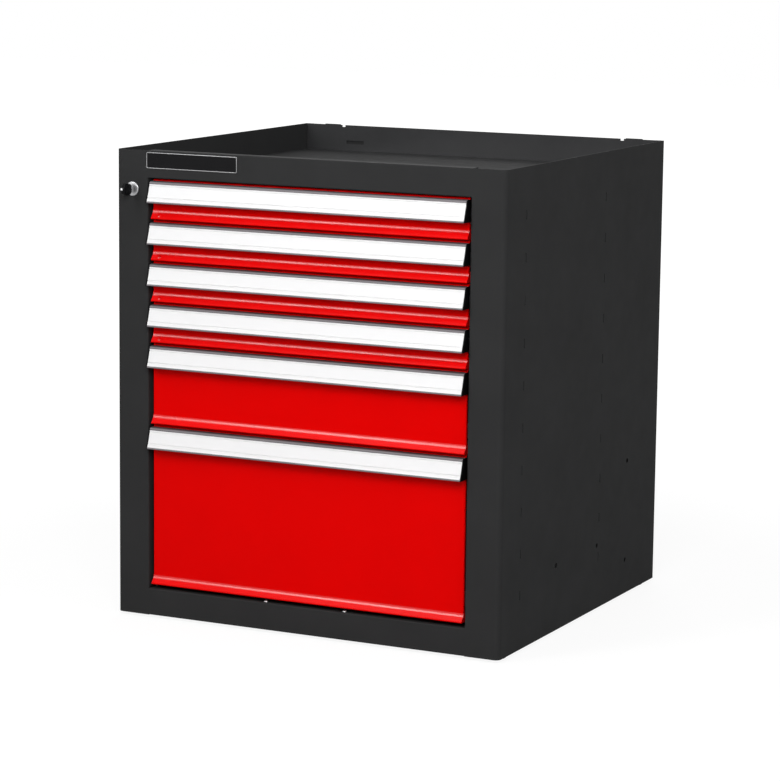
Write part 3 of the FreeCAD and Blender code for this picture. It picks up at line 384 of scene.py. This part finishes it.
def turned(outline, centre, axis="Y", segments=48, closed=False, lobes=None):
    """Closed shell turned about an axis: each outline point's distance from the axis goes round the
    circle as cosine and sine, and its place along the axis stays. The outline begins and ends on the
    axis, or is a closed loop beside it. Where lobes are given, one for each outline point, the distance
    is times one plus the lobe's size times the cosine of the lobes' count times the angle."""
    outline = np.asarray(outline, float)
    angles = np.linspace(0, 2 * np.pi, segments, endpoint=False)
    rings = outline if closed else outline[1:-1]
    waves = np.zeros(len(rings)) if lobes is None else np.asarray(lobes, float)
    reach = rings[:, :1] * (1 + waves[:, None] * np.cos(LOBE_COUNT * angles))
    place = PLACES[axis]
    points = np.zeros((len(rings), segments, 3))
    points[:, :, place[0]] = centre[0] + reach * np.cos(angles)
    points[:, :, place[1]] = centre[1] + reach * np.sin(angles)
    points[:, :, place[2]] = rings[:, 1:2]
    grid = np.arange(len(rings) * segments).reshape(len(rings), segments)
    after = np.roll(grid, -1, axis=0) if closed else grid[1:]
    near = grid if closed else grid[:-1]
    bands = np.stack([near, np.roll(near, -1, axis=1), np.roll(after, -1, axis=1), after], axis=-1)
    faces = bands.reshape(-1, 4).tolist()
    points = points.reshape(-1, 3)
    if not closed:
        poles = np.zeros((2, 3))
        poles[:, place[0]] = centre[0]
        poles[:, place[1]] = centre[1]
        poles[:, place[2]] = outline[[0, -1], 1]
        turn = np.roll(grid, -1, axis=1)
        starts = np.full(segments, len(points))
        faces += np.stack([starts, turn[0], grid[0]], axis=1).tolist()
        faces += np.stack([starts + 1, grid[-1], turn[-1]], axis=1).tolist()
        points = np.vstack([points, poles])
    return points, faces


def framed(low, high, radius, profile):
    """Closed frame in a plane across Y: each profile point, outward offset and place along Y, is
    carried round a rectangle with round corners along the rectangle's outward normals."""
    path, normals = rounded_outline(low, high, radius)
    profile = np.asarray(profile, float)
    points = np.zeros((len(path), len(profile), 3))
    points[:, :, 0] = path[:, :1] + normals[:, :1] * profile[:, 0]
    points[:, :, 1] = profile[:, 1]
    points[:, :, 2] = path[:, 1:] + normals[:, 1:] * profile[:, 0]
    grid = np.arange(len(path) * len(profile)).reshape(len(path), len(profile))
    after = np.roll(grid, -1, axis=0)
    bands = np.stack([grid, np.roll(grid, -1, axis=1), np.roll(after, -1, axis=1), after], axis=-1)
    return points.reshape(-1, 3), bands.reshape(-1, 4).tolist()


def made(name, shells, finish, body, replaced=(), bevel=0.0, crease=32, others=()):
    """A piece from one or more closed shells, faces outwards, smooth except over sharp edges, on its body.
    Each other finish is given with the numbers of the faces that have it."""
    mesh = bpy.data.meshes.new(name)
    points = np.vstack([shell[0] for shell in shells])
    faces = []
    start = 0
    for shell_points, shell_faces in shells:
        faces += [[int(place) + start for place in face] for face in shell_faces]
        start += len(shell_points)
    mesh.from_pydata(points.tolist(), [], faces)
    shape = bmesh.new()
    shape.from_mesh(mesh)
    bmesh.ops.recalc_face_normals(shape, faces=shape.faces)
    shape.to_mesh(mesh)
    shape.free()
    mesh.polygons.foreach_set("use_smooth", np.ones(len(mesh.polygons), bool))
    mesh.set_sharp_from_angle(angle=math.radians(crease))
    mesh.materials.append(finish)
    chosen = np.zeros(len(mesh.polygons), int)
    for index, (other, places) in enumerate(others, start=1):
        mesh.materials.append(other)
        chosen[places] = index
    mesh.polygons.foreach_set("material_index", chosen)
    piece = bpy.data.objects.new(name, mesh)
    bpy.context.scene.collection.objects.link(piece)
    if bevel:
        edge = piece.modifiers.new("edge", "BEVEL")
        edge.width = bevel
        edge.segments = BEVEL_STEPS
        edge.limit_method = "ANGLE"
        edge.angle_limit = math.radians(BEVEL_ANGLE)
        edge.harden_normals = True
    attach(piece, body)
    if replaced:
        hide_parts(*replaced)


# Drawer fronts

FRONT_SHEET = 1.2 * MM
FRONT_GAP = 5.5 * MM
HALF_FRONT = HALF_OPENING - FRONT_GAP
FACE = FRONT + 7 * MM
FLANGE = FACE + 13 * MM
SIDE_RETURN = FACE + 4 * MM
FOLD_RADIUS = 2.2 * MM
FRONT_OVERLAP = 3 * MM
HEAD_HEIGHT = 9 * MM
HEAD_BEND = 8 * MM
LIP_FRONT = FACE - 9 * MM
LIP_LOW = 4.5 * MM
LIP_TOP = 16.5 * MM
LIP_BEND = 9.5 * MM
LIP_EDGE = 1.6 * MM
BEND_STEPS = 11
CHEEK_PLAY = 0.05 * MM

RIVET_X = LEFT + 82 * MM
RIVET_RISE = 10.6 * MM
RIVET_RADIUS = 2.7 * MM
RIVET_DOME = 1.1 * MM
RIVET_SHANK = 0.6 * MM
# How far back the rivet leans for each unit of its height.
RIVET_LEAN = 9.0 / 13.7


def drawer_front(number):
    """Folded front: the face with its side returns, the top return with its wide bend, the lip that leans
    out at the bottom, and the cheeks that close the lip's two ends. The coat is glossier over the lip's
    bend. On the lip it is a lighter red with a faint pink tinge, which is painted light and a little
    painted sheen for a lip that faces up towards the lamps."""
    low, high = space(number)
    top = high + FRONT_OVERLAP
    head_low = top - HEAD_HEIGHT
    lip_top = low + LIP_TOP
    lip_low = low + LIP_LOW
    join = lip_top + 2 * FOLD_RADIUS
    left_side = [(-HALF_FRONT, SIDE_RETURN), (-HALF_FRONT, FACE)]
    right_side = [(HALF_FRONT, FACE), (HALF_FRONT, SIDE_RETURN)]
    face = sheet_section(left_side + right_side, [FOLD_RADIUS, FOLD_RADIUS], FRONT_SHEET)
    head = sheet_section([(FLANGE, top), (FACE, top), (FACE, head_low)], [HEAD_BEND], FRONT_SHEET)
    lip_line = [(FACE, join), (FACE, lip_top), (LIP_FRONT, lip_low), (FLANGE, lip_low)]
    lip = sheet_section(lip_line, [LIP_BEND, LIP_EDGE], FRONT_SHEET, BEND_STEPS)
    # The cheek's corners are drawn in from the lip's outer side by half a sheet, and at its tip by a
    # whole one.
    half = FRONT_SHEET / 2
    cheek = np.vstack([lip_line, [(FLANGE, join)]])
    cheek += [(half, 0), (half, 0), (2 * half, half), (0, half), (0, 0)]
    shells = [
        carried(face, join, head_low, "Z"),
        carried(head, -HALF_FRONT, HALF_FRONT),
        carried(lip, -HALF_FRONT, HALF_FRONT),
    ]
    for side in (-1, 1):
        shells.append(carried(cheek, side * (HALF_FRONT - FRONT_SHEET), side * (HALF_FRONT - CHEEK_PLAY)))
    # The lip's faces follow those of the first two shells: one above the bend, the bend's, then the lip.
    bend = len(shells[0][1]) + len(shells[1][1]) + 1 + np.arange(BEND_STEPS - 1)
    lip_face = bend[-1] + 1
    # The lip's own face gets the lighter red, which is painted light.
    made(f"drawer_{number}_folded_front", shells, red_coat, f"drawer_{number}",
         [f"drawer_{number}_front"], others=[(red_fold_coat, bend), (red_lip_painted_light_coat, [lip_face])])


def lip_rivet(number):
    """Low round head near the left end of a small drawer's lip. It is turned about an axis along Y and
    then leaned back with the lip: each point moves along Y by the lean times its height."""
    low = space(number)[0]
    middle = low + RIVET_RISE
    seat = LIP_FRONT + (RIVET_RISE - LIP_LOW) * RIVET_LEAN
    crown = arc((0, 0), 1, 90, 8, 7)
    dome = np.stack([crown[:, 0] * RIVET_RADIUS, seat - crown[:, 1] * RIVET_DOME], axis=1)
    outline = np.vstack([dome, [(RIVET_RADIUS, seat + RIVET_SHANK), (0, seat + RIVET_SHANK)]])
    points, faces = turned(outline, (RIVET_X, middle), segments=28)
    points[:, 1] += (points[:, 2] - middle) * RIVET_LEAN
    made(f"drawer_{number}_lip_rivet", [(points, faces)], red_fold_coat, f"drawer_{number}")


# Handles

HANDLE_GAP = 6 * MM
HALF_HANDLE = HALF_OPENING - HANDLE_GAP
HANDLE_SEAT = 0.8 * MM
CAP_PLATE = 2.5 * MM
CAP_PLUG = 12 * MM
CAP_OVERLAP = 1 * MM
CAP_EDGE = 0.5 * MM
STRIP_INSET = 2.5 * MM

# The handle's side view, in millimetres from the top of its leg. A reach is how far out a point lies,
# and a drop is how far below the handle's top.
HANDLE_HEIGHT = 36.2
TOP_REACH = 12.5
TIP_REACH = 23.0
SWEEP = 160.0
LEG_WALL = 1.8
LEG_HEIGHT = 20.0
PLATE_WALL = 1.9
CROWN_RADIUS = 4.0
CROWN_INSIDE = 2.2
CROWN = (CROWN_RADIUS - TOP_REACH, -CROWN_RADIUS)
CROWN_STEPS = 9
TIP_RADIUS = PLATE_WALL / 2
TIP_RISE = 1.2
TIP_STEPS = 7
TIP_START = 156
FRONT_DROPS = np.linspace(CROWN_RADIUS + 0.3, HANDLE_HEIGHT - 1.3, 78)
BACK_DROPS = np.linspace(HANDLE_HEIGHT - 1.6, CROWN_RADIUS + 0.6, 22)
# Front faces above the first of these drops and below the second get the painted shade.
TOP_SHADE_DROP = CROWN_RADIUS + 1.0
LOW_SHADE_DROP = HANDLE_HEIGHT - 3.0
GROOVES = (8.2, 27.2)
GROOVE_DEPTH = 0.9
GROOVE_WIDTH = 0.8
STRIP_FACE = 0.22
STRIP_PLAY = 0.02
PLUG_INSET = 2.2
PLUG_RISE = 3.0


def circle_centre(upper, lower, radius):
    """Centre of the circle through two points that bulges inwards: from the middle of their chord,
    square to it and outwards, by the root of the radius squared less half the chord squared."""
    chord = np.subtract(lower, upper)
    half = np.linalg.norm(chord) / 2
    outwards = np.array([chord[1], -chord[0]]) / (2 * half)
    return np.add(upper, lower) / 2 + outwards * math.sqrt(radius ** 2 - half ** 2)


SWEEP_CENTRE = circle_centre((-TOP_REACH, -CROWN_RADIUS), (-TIP_REACH, -HANDLE_HEIGHT), SWEEP)


def flare(drops, lift=0.0):
    """Points on the handle's hollow front: on a circle about the sweep's centre at each drop below the
    handle's top, moved back into the wall by lift."""
    angles = np.arcsin((-np.asarray(drops, float) - SWEEP_CENTRE[1]) / SWEEP)
    radius = SWEEP + np.asarray(lift, float)
    return SWEEP_CENTRE + np.stack([radius * np.cos(angles), radius * np.sin(angles)], axis=1)


def handle_section():
    """The handle's outline: leg, rounded top, hollow front with two grooves that hold the label strip, a
    rounded lower edge, and the back of the plate one wall behind the front. A groove is a smooth dip:
    its depth times the bell curve of the distance from its middle."""
    bells = sum(np.exp(-((FRONT_DROPS - middle) / GROOVE_WIDTH) ** 2) for middle in GROOVES)
    tip = flare([HANDLE_HEIGHT - TIP_RISE], TIP_RADIUS)[0]
    return np.vstack([
        [(0, 0)],
        arc(CROWN, CROWN_RADIUS, 90, 180, CROWN_STEPS),
        flare(FRONT_DROPS, GROOVE_DEPTH * bells),
        arc(tip, TIP_RADIUS, TIP_START, TIP_START + 180, TIP_STEPS),
        flare(BACK_DROPS, PLATE_WALL),
        arc(CROWN, CROWN_INSIDE, 175, 90, 6),
        [(-LEG_WALL, -LEG_WALL), (-LEG_WALL, -LEG_HEIGHT), (0, -LEG_HEIGHT)],
    ])


def from_leg(section, number):
    """Handle outline in metres at its seat on the drawer's face."""
    top = space(number)[1] - HANDLE_SEAT
    return np.asarray(section) * MM + np.array([FACE, top])


def drawer_handle(number):
    """Handle with painted shade, a dark grey metal, along its rounded top and its lower edge. The faces of
    the front come one for each drop, after those of the leg's top and the crown, and the faces of the tip
    follow them."""
    first = CROWN_STEPS + 1
    last = first + len(FRONT_DROPS)
    # The crown, the front near the top and near the lower edge, and the tip take the painted shade.
    shaded_drops = (FRONT_DROPS < TOP_SHADE_DROP) | (FRONT_DROPS > LOW_SHADE_DROP)
    painted_shade_faces = [*range(first), *(np.flatnonzero(shaded_drops) + first), *range(last, last + TIP_STEPS)]
    shell = carried(from_leg(handle_section(), number), -HALF_HANDLE, HALF_HANDLE)
    made(f"drawer_{number}_flared_handle", [shell], handle_metal, f"drawer_{number}",
         [f"drawer_{number}_handle"], others=[(handle_painted_shade, painted_shade_faces)])


def label_strip(number):
    """Film between the handle's two grooves: two copies of the handle's front, one before the other."""
    drops = np.linspace(GROOVES[0] + GROOVE_WIDTH, GROOVES[1] - GROOVE_WIDTH, 18)
    strip = np.vstack([flare(drops, -STRIP_FACE), flare(drops[::-1], -STRIP_PLAY)])
    half = HALF_HANDLE - STRIP_INSET
    made(f"drawer_{number}_label_strip", [carried(from_leg(strip, number), -half, half)],
         strip_film, f"drawer_{number}")


def handle_caps(number):
    """Both end caps of a handle: a plate with the handle's whole side view, and a plug inside it."""
    plate_drops = np.linspace(CROWN_RADIUS + 0.4, HANDLE_HEIGHT, 20)
    plate = np.vstack([
        [(0, 0)],
        arc(CROWN, CROWN_RADIUS, 90, 180, 8),
        flare(plate_drops),
        [(0, -HANDLE_HEIGHT)],
    ])
    plug_low = HANDLE_HEIGHT - PLUG_RISE
    plug_drops = np.linspace(CROWN_RADIUS + 2, plug_low, 16)
    plug = np.vstack([
        [(-PLUG_INSET, -PLUG_INSET)],
        arc(CROWN, CROWN_RADIUS - PLUG_INSET, 90, 170, 4),
        flare(plug_drops, PLUG_INSET),
        [(-PLUG_INSET, -plug_low)],
    ])
    plates = []
    plugs = []
    for side in (-1, 1):
        end = side * HALF_HANDLE
        plates.append(carried(from_leg(plate, number), end, end + side * CAP_PLATE))
        plugs.append(carried(from_leg(plug, number), end - side * CAP_PLUG, end + side * CAP_OVERLAP))
    made(f"drawer_{number}_cap_plates", plates, cap_plastic, f"drawer_{number}",
         [f"drawer_{number}_end_caps"], bevel=CAP_EDGE)
    made(f"drawer_{number}_cap_plugs", plugs, cap_plastic, f"drawer_{number}")


# Badge

BADGE_LENGTH = 173.5 * MM
BADGE_HEIGHT = 27 * MM
BADGE_LEFT = LEFT + 59.2 * MM
BADGE_TOP = TOP - 2.8 * MM
BADGE_LOW = (BADGE_LEFT, BADGE_TOP - BADGE_HEIGHT)
BADGE_HIGH = (BADGE_LEFT + BADGE_LENGTH, BADGE_TOP)
BADGE_CORNER = 2.2 * MM
BADGE_RIM = 1.3 * MM
RIM_ROUND = 0.6 * MM
FIELD_CORNER = 1 * MM
FIELD_OVERLAP = 0.2 * MM
FIELD_SHEET = 0.8 * MM


def badge():
    """Bare plate in a frame with a rounded section."""
    crest = arc((-BADGE_RIM / 2, FRONT - RIM_ROUND), RIM_ROUND, 350, 190, 7)
    rim = np.vstack([[(0, FRONT)], crest, [(-BADGE_RIM, FRONT)]])
    made("badge_frame", [framed(BADGE_LOW, BADGE_HIGH, BADGE_CORNER, rim)], badge_rim, "cabinet",
         ["badge_plate"])
    inset = BADGE_RIM - FIELD_OVERLAP
    low = [part + inset for part in BADGE_LOW]
    high = [part - inset for part in BADGE_HIGH]
    field, _ = rounded_outline(low, high, FIELD_CORNER)
    plate = carried(field, FRONT, FRONT - FIELD_SHEET, "Y")
    made("badge_bare_field", [plate], badge_field, "cabinet")


# Lock and key

LOCK_X = LEFT + 32.1 * MM
LOCK_Z = TOP - 65.7 * MM
LOCK = (LOCK_X, LOCK_Z)
RING_RADIUS = 12.2 * MM
RING_LENGTH = 3 * MM
RING_SHOULDER = 1.5 * MM
BARREL_RADIUS = 9 * MM
BARREL_END = FRONT + 28 * MM
BORE_RADIUS = 6.08 * MM
BORE_EDGE = (0.22 * MM, 0.15 * MM)
NUT_WIDTH = 24 * MM
NUT_LENGTH = 4 * MM

BOW_MIDDLE = FRONT - 21.5 * MM
BOW_HALF_LENGTH = 12.9 * MM
BOW_HALF_HEIGHT = 10 * MM
BOW_HALF_THICKNESS = 3.75 * MM
BOW_SQUARENESS = 0.72
BOW_EDGE = 1.3 * MM
BLADE_START = FRONT - 14 * MM
BLADE_SHOULDER = FRONT + 14 * MM
BLADE_TIP = FRONT + 18 * MM
BLADE_HALF_HEIGHT = 4 * MM
BLADE_HALF_THICKNESS = 1.1 * MM
BLADE_EDGE = 0.15 * MM
BLADE_CUT = LOCK_Z - 1 * MM
LUG_RADIUS = 2.3 * MM
LUG_HOLE = 1.2 * MM
LUG_RISE = 1.5 * MM
NECK_FRONT = KEY_END + 3.9 * MM
NECK_BACK = KEY_END + 9 * MM
NECK_LOW = LOCK_Z - 2 * MM
NECK_HIGH = LOCK_Z + 5 * MM


def lock_ring():
    """Flat face ring with a round shoulder, its barrel in one piece, and the nut behind the upright."""
    face = FRONT - RING_LENGTH
    loop = np.vstack([
        [(RING_RADIUS, FRONT)],
        arc((RING_RADIUS - RING_SHOULDER, face + RING_SHOULDER), RING_SHOULDER, 0, -80, 7),
        [(BORE_RADIUS + BORE_EDGE[0], face), (BORE_RADIUS, face + BORE_EDGE[1])],
        [(BORE_RADIUS, BARREL_END), (BARREL_RADIUS, BARREL_END), (BARREL_RADIUS, FRONT)],
    ])
    ring = turned(loop, LOCK, segments=64, closed=True)
    hexagon = arc(LOCK, NUT_WIDTH / 2 / math.cos(math.pi / 6), 0, 300, 6)
    nut_front = FRONT + PANEL_SHEET
    nut = carried(hexagon, nut_front, nut_front + NUT_LENGTH, "Y")
    made("lock_face_ring", [ring, nut], lock_metal, "cabinet", ["lock_housing"])


def key_bow():
    """Moulded bow with soft edges. Its outline lies between an ellipse and a rectangle: cosine and sine
    are each raised to a power below one, with their signs kept."""
    angles = np.linspace(0, 2 * np.pi, 40, endpoint=False)
    circle = np.stack([np.cos(angles), np.sin(angles)], axis=1)
    rounded = np.abs(circle) ** BOW_SQUARENESS * np.sign(circle)
    bow = (BOW_MIDDLE, LOCK_Z) + rounded * (BOW_HALF_LENGTH, BOW_HALF_HEIGHT)
    made("lock_key_bow", [carried(bow, LOCK_X - BOW_HALF_THICKNESS, LOCK_X + BOW_HALF_THICKNESS)],
         key_plastic, "lock_rotor", ["lock_key"], bevel=BOW_EDGE)


def key_blade():
    """Flat blade with a cut corner at its tip, and at its other end the neck and the lug for a ring."""
    left, right = LOCK_X - BLADE_HALF_THICKNESS, LOCK_X + BLADE_HALF_THICKNESS
    low, high = LOCK_Z - BLADE_HALF_HEIGHT, LOCK_Z + BLADE_HALF_HEIGHT
    blade = [(BLADE_START, low), (BLADE_SHOULDER, low), (BLADE_TIP, BLADE_CUT), (BLADE_TIP, high),
             (BLADE_START, high)]
    neck = [(NECK_FRONT, LOCK_Z), (NECK_BACK, NECK_LOW), (NECK_BACK, NECK_HIGH),
            (NECK_FRONT, LOCK_Z + 2 * LUG_RISE)]
    lug = [(LUG_HOLE, left), (LUG_RADIUS, left), (LUG_RADIUS, right), (LUG_HOLE, right)]
    lug_middle = (KEY_END + LUG_RADIUS, LOCK_Z + LUG_RISE)
    shells = [
        carried(blade, left, right),
        turned(lug, lug_middle, axis="X", segments=28, closed=True),
        carried(neck, left, right),
    ]
    made("lock_key_blade", shells, key_steel, "lock_rotor", bevel=BLADE_EDGE)


# Feet, screws and pockets

FOOT_X = RIGHT - 22.5 * MM
FOOT_DEPTHS = (FRONT + 38 * MM, BACK - 45 * MM)
SCREW_X = 74.5 * MM
SCREW_Y = FRONT + 9.5 * MM
SOCKET_LOBE = 0.16

HOOK_SLOT_X = 257 * MM
HOOK_SLOT_Z = TOP - 32 * MM
POCKET_HALF_LENGTH = 25 * MM
POCKET_HALF_HEIGHT = 10 * MM
POCKET_CORNER = 7 * MM
POCKET_RIM = 6.2 * MM
DISH_CORNER = 0.8 * MM
DISH_SPAN = (0.6 * MM, 1.25 * MM)

# Outlines in millimetres, distance from the axis and height, from the axis round to the axis.
FOOT_OUTLINE = [
    (0, 0), (15.2, 0), (16.2, 0.25), (17.4, 1.3), (18, 2.0), (17.5, 2.6), (18, 3.2), (17.9, 4.4),
    (17.2, 5.0), (6.4, 5.0), (4, 5.0), (4, 16.4), (3.4, 17), (0, 17),
]
SCREW_OUTLINE = [
    (0, -9), (1.2, -9), (2, -8.2), (2, 0), (4.2, 0), (4.2, 0.6), (3.9, 1.35), (3.1, 1.9), (2.2, 2.15),
    (1.75, 2.2), (1.5, 2.05), (1.3, 0.9), (0, 0.8),
]
# The pocket's profile in millimetres, outward offset and height over the panel's rear face.
POCKET_PROFILE = [
    (0, 0), (-5, 0), (-6, 0.5), (-6.5, 0.5), (-6.5, 1.3), (-4.5, 1.3), (-3.5, 0.7), (0, 0.7),
]


def foot_discs():
    """Four discs on stems: a chamfered sole, a grip groove round the rim, and a soft upper edge."""
    outline = np.array(FOOT_OUTLINE) * MM
    places = [(side * FOOT_X, depth) for side in (-1, 1) for depth in FOOT_DEPTHS]
    made("feet_discs", [turned(outline, place, axis="Z", segments=56) for place in places], foot_rubber,
         "cabinet", ["feet"])


def rail_screw_heads():
    """Two screws with domed heads and a four-lobed socket, whose lobes are on the last three rings."""
    outline = np.array(SCREW_OUTLINE) * MM + (0, RAIL_TOP)
    lobes = np.zeros(len(outline) - 2)
    lobes[-3:] = SOCKET_LOBE
    places = [(side * SCREW_X, SCREW_Y) for side in (-1, 1)]
    made("rail_screw_heads", [turned(outline, place, axis="Z", lobes=lobes) for place in places],
         screw_metal, "cabinet", ["rail_screws"])


def slot_pockets():
    """Shallow pressed pockets behind the back panel's two hook slots, with a flat rim round each. The
    panel's rear face lies one sheet inside the cabinet's back."""
    rear_face = BACK - PANEL_SHEET
    profile = np.array(POCKET_PROFILE) * MM + (0, rear_face)
    shells = []
    for side in (-1, 1):
        low = np.array([side * HOOK_SLOT_X - POCKET_HALF_LENGTH, HOOK_SLOT_Z - POCKET_HALF_HEIGHT])
        high = np.array([side * HOOK_SLOT_X + POCKET_HALF_LENGTH, HOOK_SLOT_Z + POCKET_HALF_HEIGHT])
        shells.append(framed(low, high, POCKET_CORNER, profile))
        dish, _ = rounded_outline(low + POCKET_RIM, high - POCKET_RIM, DISH_CORNER)
        shells.append(carried(dish, rear_face + DISH_SPAN[0], rear_face + DISH_SPAN[1], "Y"))
    made("back_slot_pockets", shells, casing_coat, "cabinet")


coat_nodes()
for number in DRAWERS:
    drawer_front(number)
    drawer_handle(number)
    label_strip(number)
    handle_caps(number)
for number in DRAWERS:
    if STEPS[number - 1] == 1:
        lip_rivet(number)
badge()
lock_ring()
key_bow()
key_blade()
foot_discs()
rail_screw_heads()
slot_pockets()


# Stage, light and camera

FLOOR_HALF = 14.0
FLOOR_GREY = 0.60
FLOOR_ROUGHNESS = 0.9
FLOOR_GLOW = 1.11
SHADOW_NEAR = 0.8
SHADOW_FAR = 2.6
SHADOW_SHARE = 0.80
ROOM_LIGHT = 0.17
LAMP_AIM = (0, 0, 0.4)

# Bearing and elevation in degrees, distance, width and height in metres, power in watts.
LAMPS = {
    "key_light": (-27.5, 35, 4.2, 1.0, 3.4, 84),
    "near_light": (22, 27, 2.5, 0.9, 0.9, 31),
    "top_light": (0, 80, 3.2, 2.0, 2.0, 15),
    "right_light": (84, 25, 4.5, 1.6, 1.6, 60),
    "back_light": (195, 42, 4.0, 1.6, 1.6, 50),
}

# The camera: its focal length in the photograph's own pixels, its place in metres, its angles in radians.
PHOTO_WIDTH = 780
FOCAL_LENGTH = 2997.65
SENSOR_WIDTH = 36
CAMERA_PLACE = (2.28482, -4.66319, 1.23583)
CAMERA_BEARING = 0.4558
CAMERA_DIP = 0.1644
CAMERA_ROLL = 0.0114


def seen_directly(nodes, links):
    """One for rays from the camera and for rays that metal or glass sends on, else nothing."""
    path = nodes.new("ShaderNodeLightPath")
    total = path.outputs["Is Camera Ray"]
    for name in ("Is Glossy Ray", "Is Transmission Ray"):
        larger = nodes.new("ShaderNodeMath")
        larger.operation = "MAXIMUM"
        links.new(total, larger.inputs[0])
        links.new(path.outputs[name], larger.inputs[1])
        total = larger.outputs[0]
    return total


def white_share(nodes, links):
    """How much white the floor takes on: it grows with the distance from the cabinet, for the rays that
    see the floor directly."""
    place = nodes.new("ShaderNodeTexCoord")
    distance = nodes.new("ShaderNodeVectorMath")
    distance.operation = "LENGTH"
    links.new(place.outputs["Object"], distance.inputs[0])
    share = nodes.new("ShaderNodeMapRange")
    share.inputs["From Min"].default_value = SHADOW_NEAR
    share.inputs["From Max"].default_value = SHADOW_FAR
    share.inputs["To Min"].default_value = SHADOW_SHARE
    share.inputs["To Max"].default_value = 1.0
    links.new(distance.outputs["Value"], share.inputs["Value"])
    seen = nodes.new("ShaderNodeMath")
    seen.operation = "MULTIPLY"
    links.new(seen_directly(nodes, links), seen.inputs[0])
    links.new(share.outputs["Result"], seen.inputs[1])
    return seen.outputs[0]


def floor_paint():
    """Matt grey paint under a white glow. The rays that see it directly get mostly the glow, and a little
    of the paint with the cabinet's shadow on it."""
    material, nodes, links, shader = new_material("studio_floor_paint")
    shader.inputs["Base Color"].default_value = (FLOOR_GREY, FLOOR_GREY, FLOOR_GREY, 1)
    shader.inputs["Roughness"].default_value = FLOOR_ROUGHNESS
    shader.inputs["Specular IOR Level"].default_value = 0.0
    white = nodes.new("ShaderNodeEmission")
    white.inputs["Strength"].default_value = FLOOR_GLOW
    mix = nodes.new("ShaderNodeMixShader")
    links.new(white_share(nodes, links), mix.inputs["Fac"])
    links.new(shader.outputs["BSDF"], mix.inputs[1])
    links.new(white.outputs["Emission"], mix.inputs[2])
    links.new(mix.outputs["Shader"], nodes["Material Output"].inputs["Surface"])
    return material


def stage_floor():
    """Pale square floor that runs out of view."""
    mesh = bpy.data.meshes.new("studio_floor")
    corners = [(-FLOOR_HALF, -FLOOR_HALF, 0), (FLOOR_HALF, -FLOOR_HALF, 0),
               (FLOOR_HALF, FLOOR_HALF, 0), (-FLOOR_HALF, FLOOR_HALF, 0)]
    mesh.from_pydata(corners, [], [(0, 1, 2, 3)])
    mesh.materials.append(floor_paint())
    floor = bpy.data.objects.new("studio_floor", mesh)
    bpy.context.scene.collection.objects.link(floor)


def studio_world():
    """Dim light from all round, and a white backdrop for the rays that see it directly."""
    world = bpy.data.worlds.new("studio")
    world.use_nodes = True
    bpy.context.scene.world = world
    nodes = world.node_tree.nodes
    links = world.node_tree.links
    dim = nodes["Background"]
    dim.inputs["Color"].default_value = (1, 1, 1, 1)
    dim.inputs["Strength"].default_value = ROOM_LIGHT
    white = nodes.new("ShaderNodeBackground")
    white.inputs["Color"].default_value = (1, 1, 1, 1)
    mix = nodes.new("ShaderNodeMixShader")
    links.new(seen_directly(nodes, links), mix.inputs["Fac"])
    links.new(dim.outputs["Background"], mix.inputs[1])
    links.new(white.outputs["Background"], mix.inputs[2])
    links.new(mix.outputs["Shader"], nodes["World Output"].inputs["Surface"])


def aimed(bearing, dip):
    """Turn of a lamp or camera that stands at a bearing and looks down by the dip, both in radians."""
    return Matrix.Rotation(bearing, 4, "Z") @ Matrix.Rotation(math.pi / 2 - dip, 4, "X")


def soft_box(name, azimuth, elevation, distance, width, height, power):
    """Lamp that faces the cabinet's middle from the given bearing; bearing 0 is straight in front."""
    lamp = bpy.data.lights.new(name, "AREA")
    lamp.shape = "RECTANGLE"
    lamp.size = width
    lamp.size_y = height
    lamp.energy = power
    box = bpy.data.objects.new(name, lamp)
    bpy.context.scene.collection.objects.link(box)
    bearing, rise = math.radians(azimuth), math.radians(elevation)
    level = math.cos(rise)
    away = np.array([math.sin(bearing) * level, -math.cos(bearing) * level, math.sin(rise)])
    place = LAMP_AIM + away * distance
    box.matrix_world = Matrix.Translation(place.tolist()) @ aimed(bearing, rise)


def photo_camera():
    """The camera at the photograph's viewing angle."""
    lens = bpy.data.cameras.new("camera")
    lens.sensor_fit = "HORIZONTAL"
    lens.sensor_width = SENSOR_WIDTH
    lens.lens = SENSOR_WIDTH * FOCAL_LENGTH / PHOTO_WIDTH
    lens.clip_end = 100
    camera = bpy.data.objects.new("camera", lens)
    bpy.context.scene.collection.objects.link(camera)
    bpy.context.scene.camera = camera
    roll = Matrix.Rotation(CAMERA_ROLL, 4, "Z")
    camera.matrix_world = Matrix.Translation(CAMERA_PLACE) @ aimed(CAMERA_BEARING, CAMERA_DIP) @ roll


stage_floor()
studio_world()
for name, values in LAMPS.items():
    soft_box(name, *values)
photo_camera()
bpy.context.scene.view_settings.view_transform = "Standard"
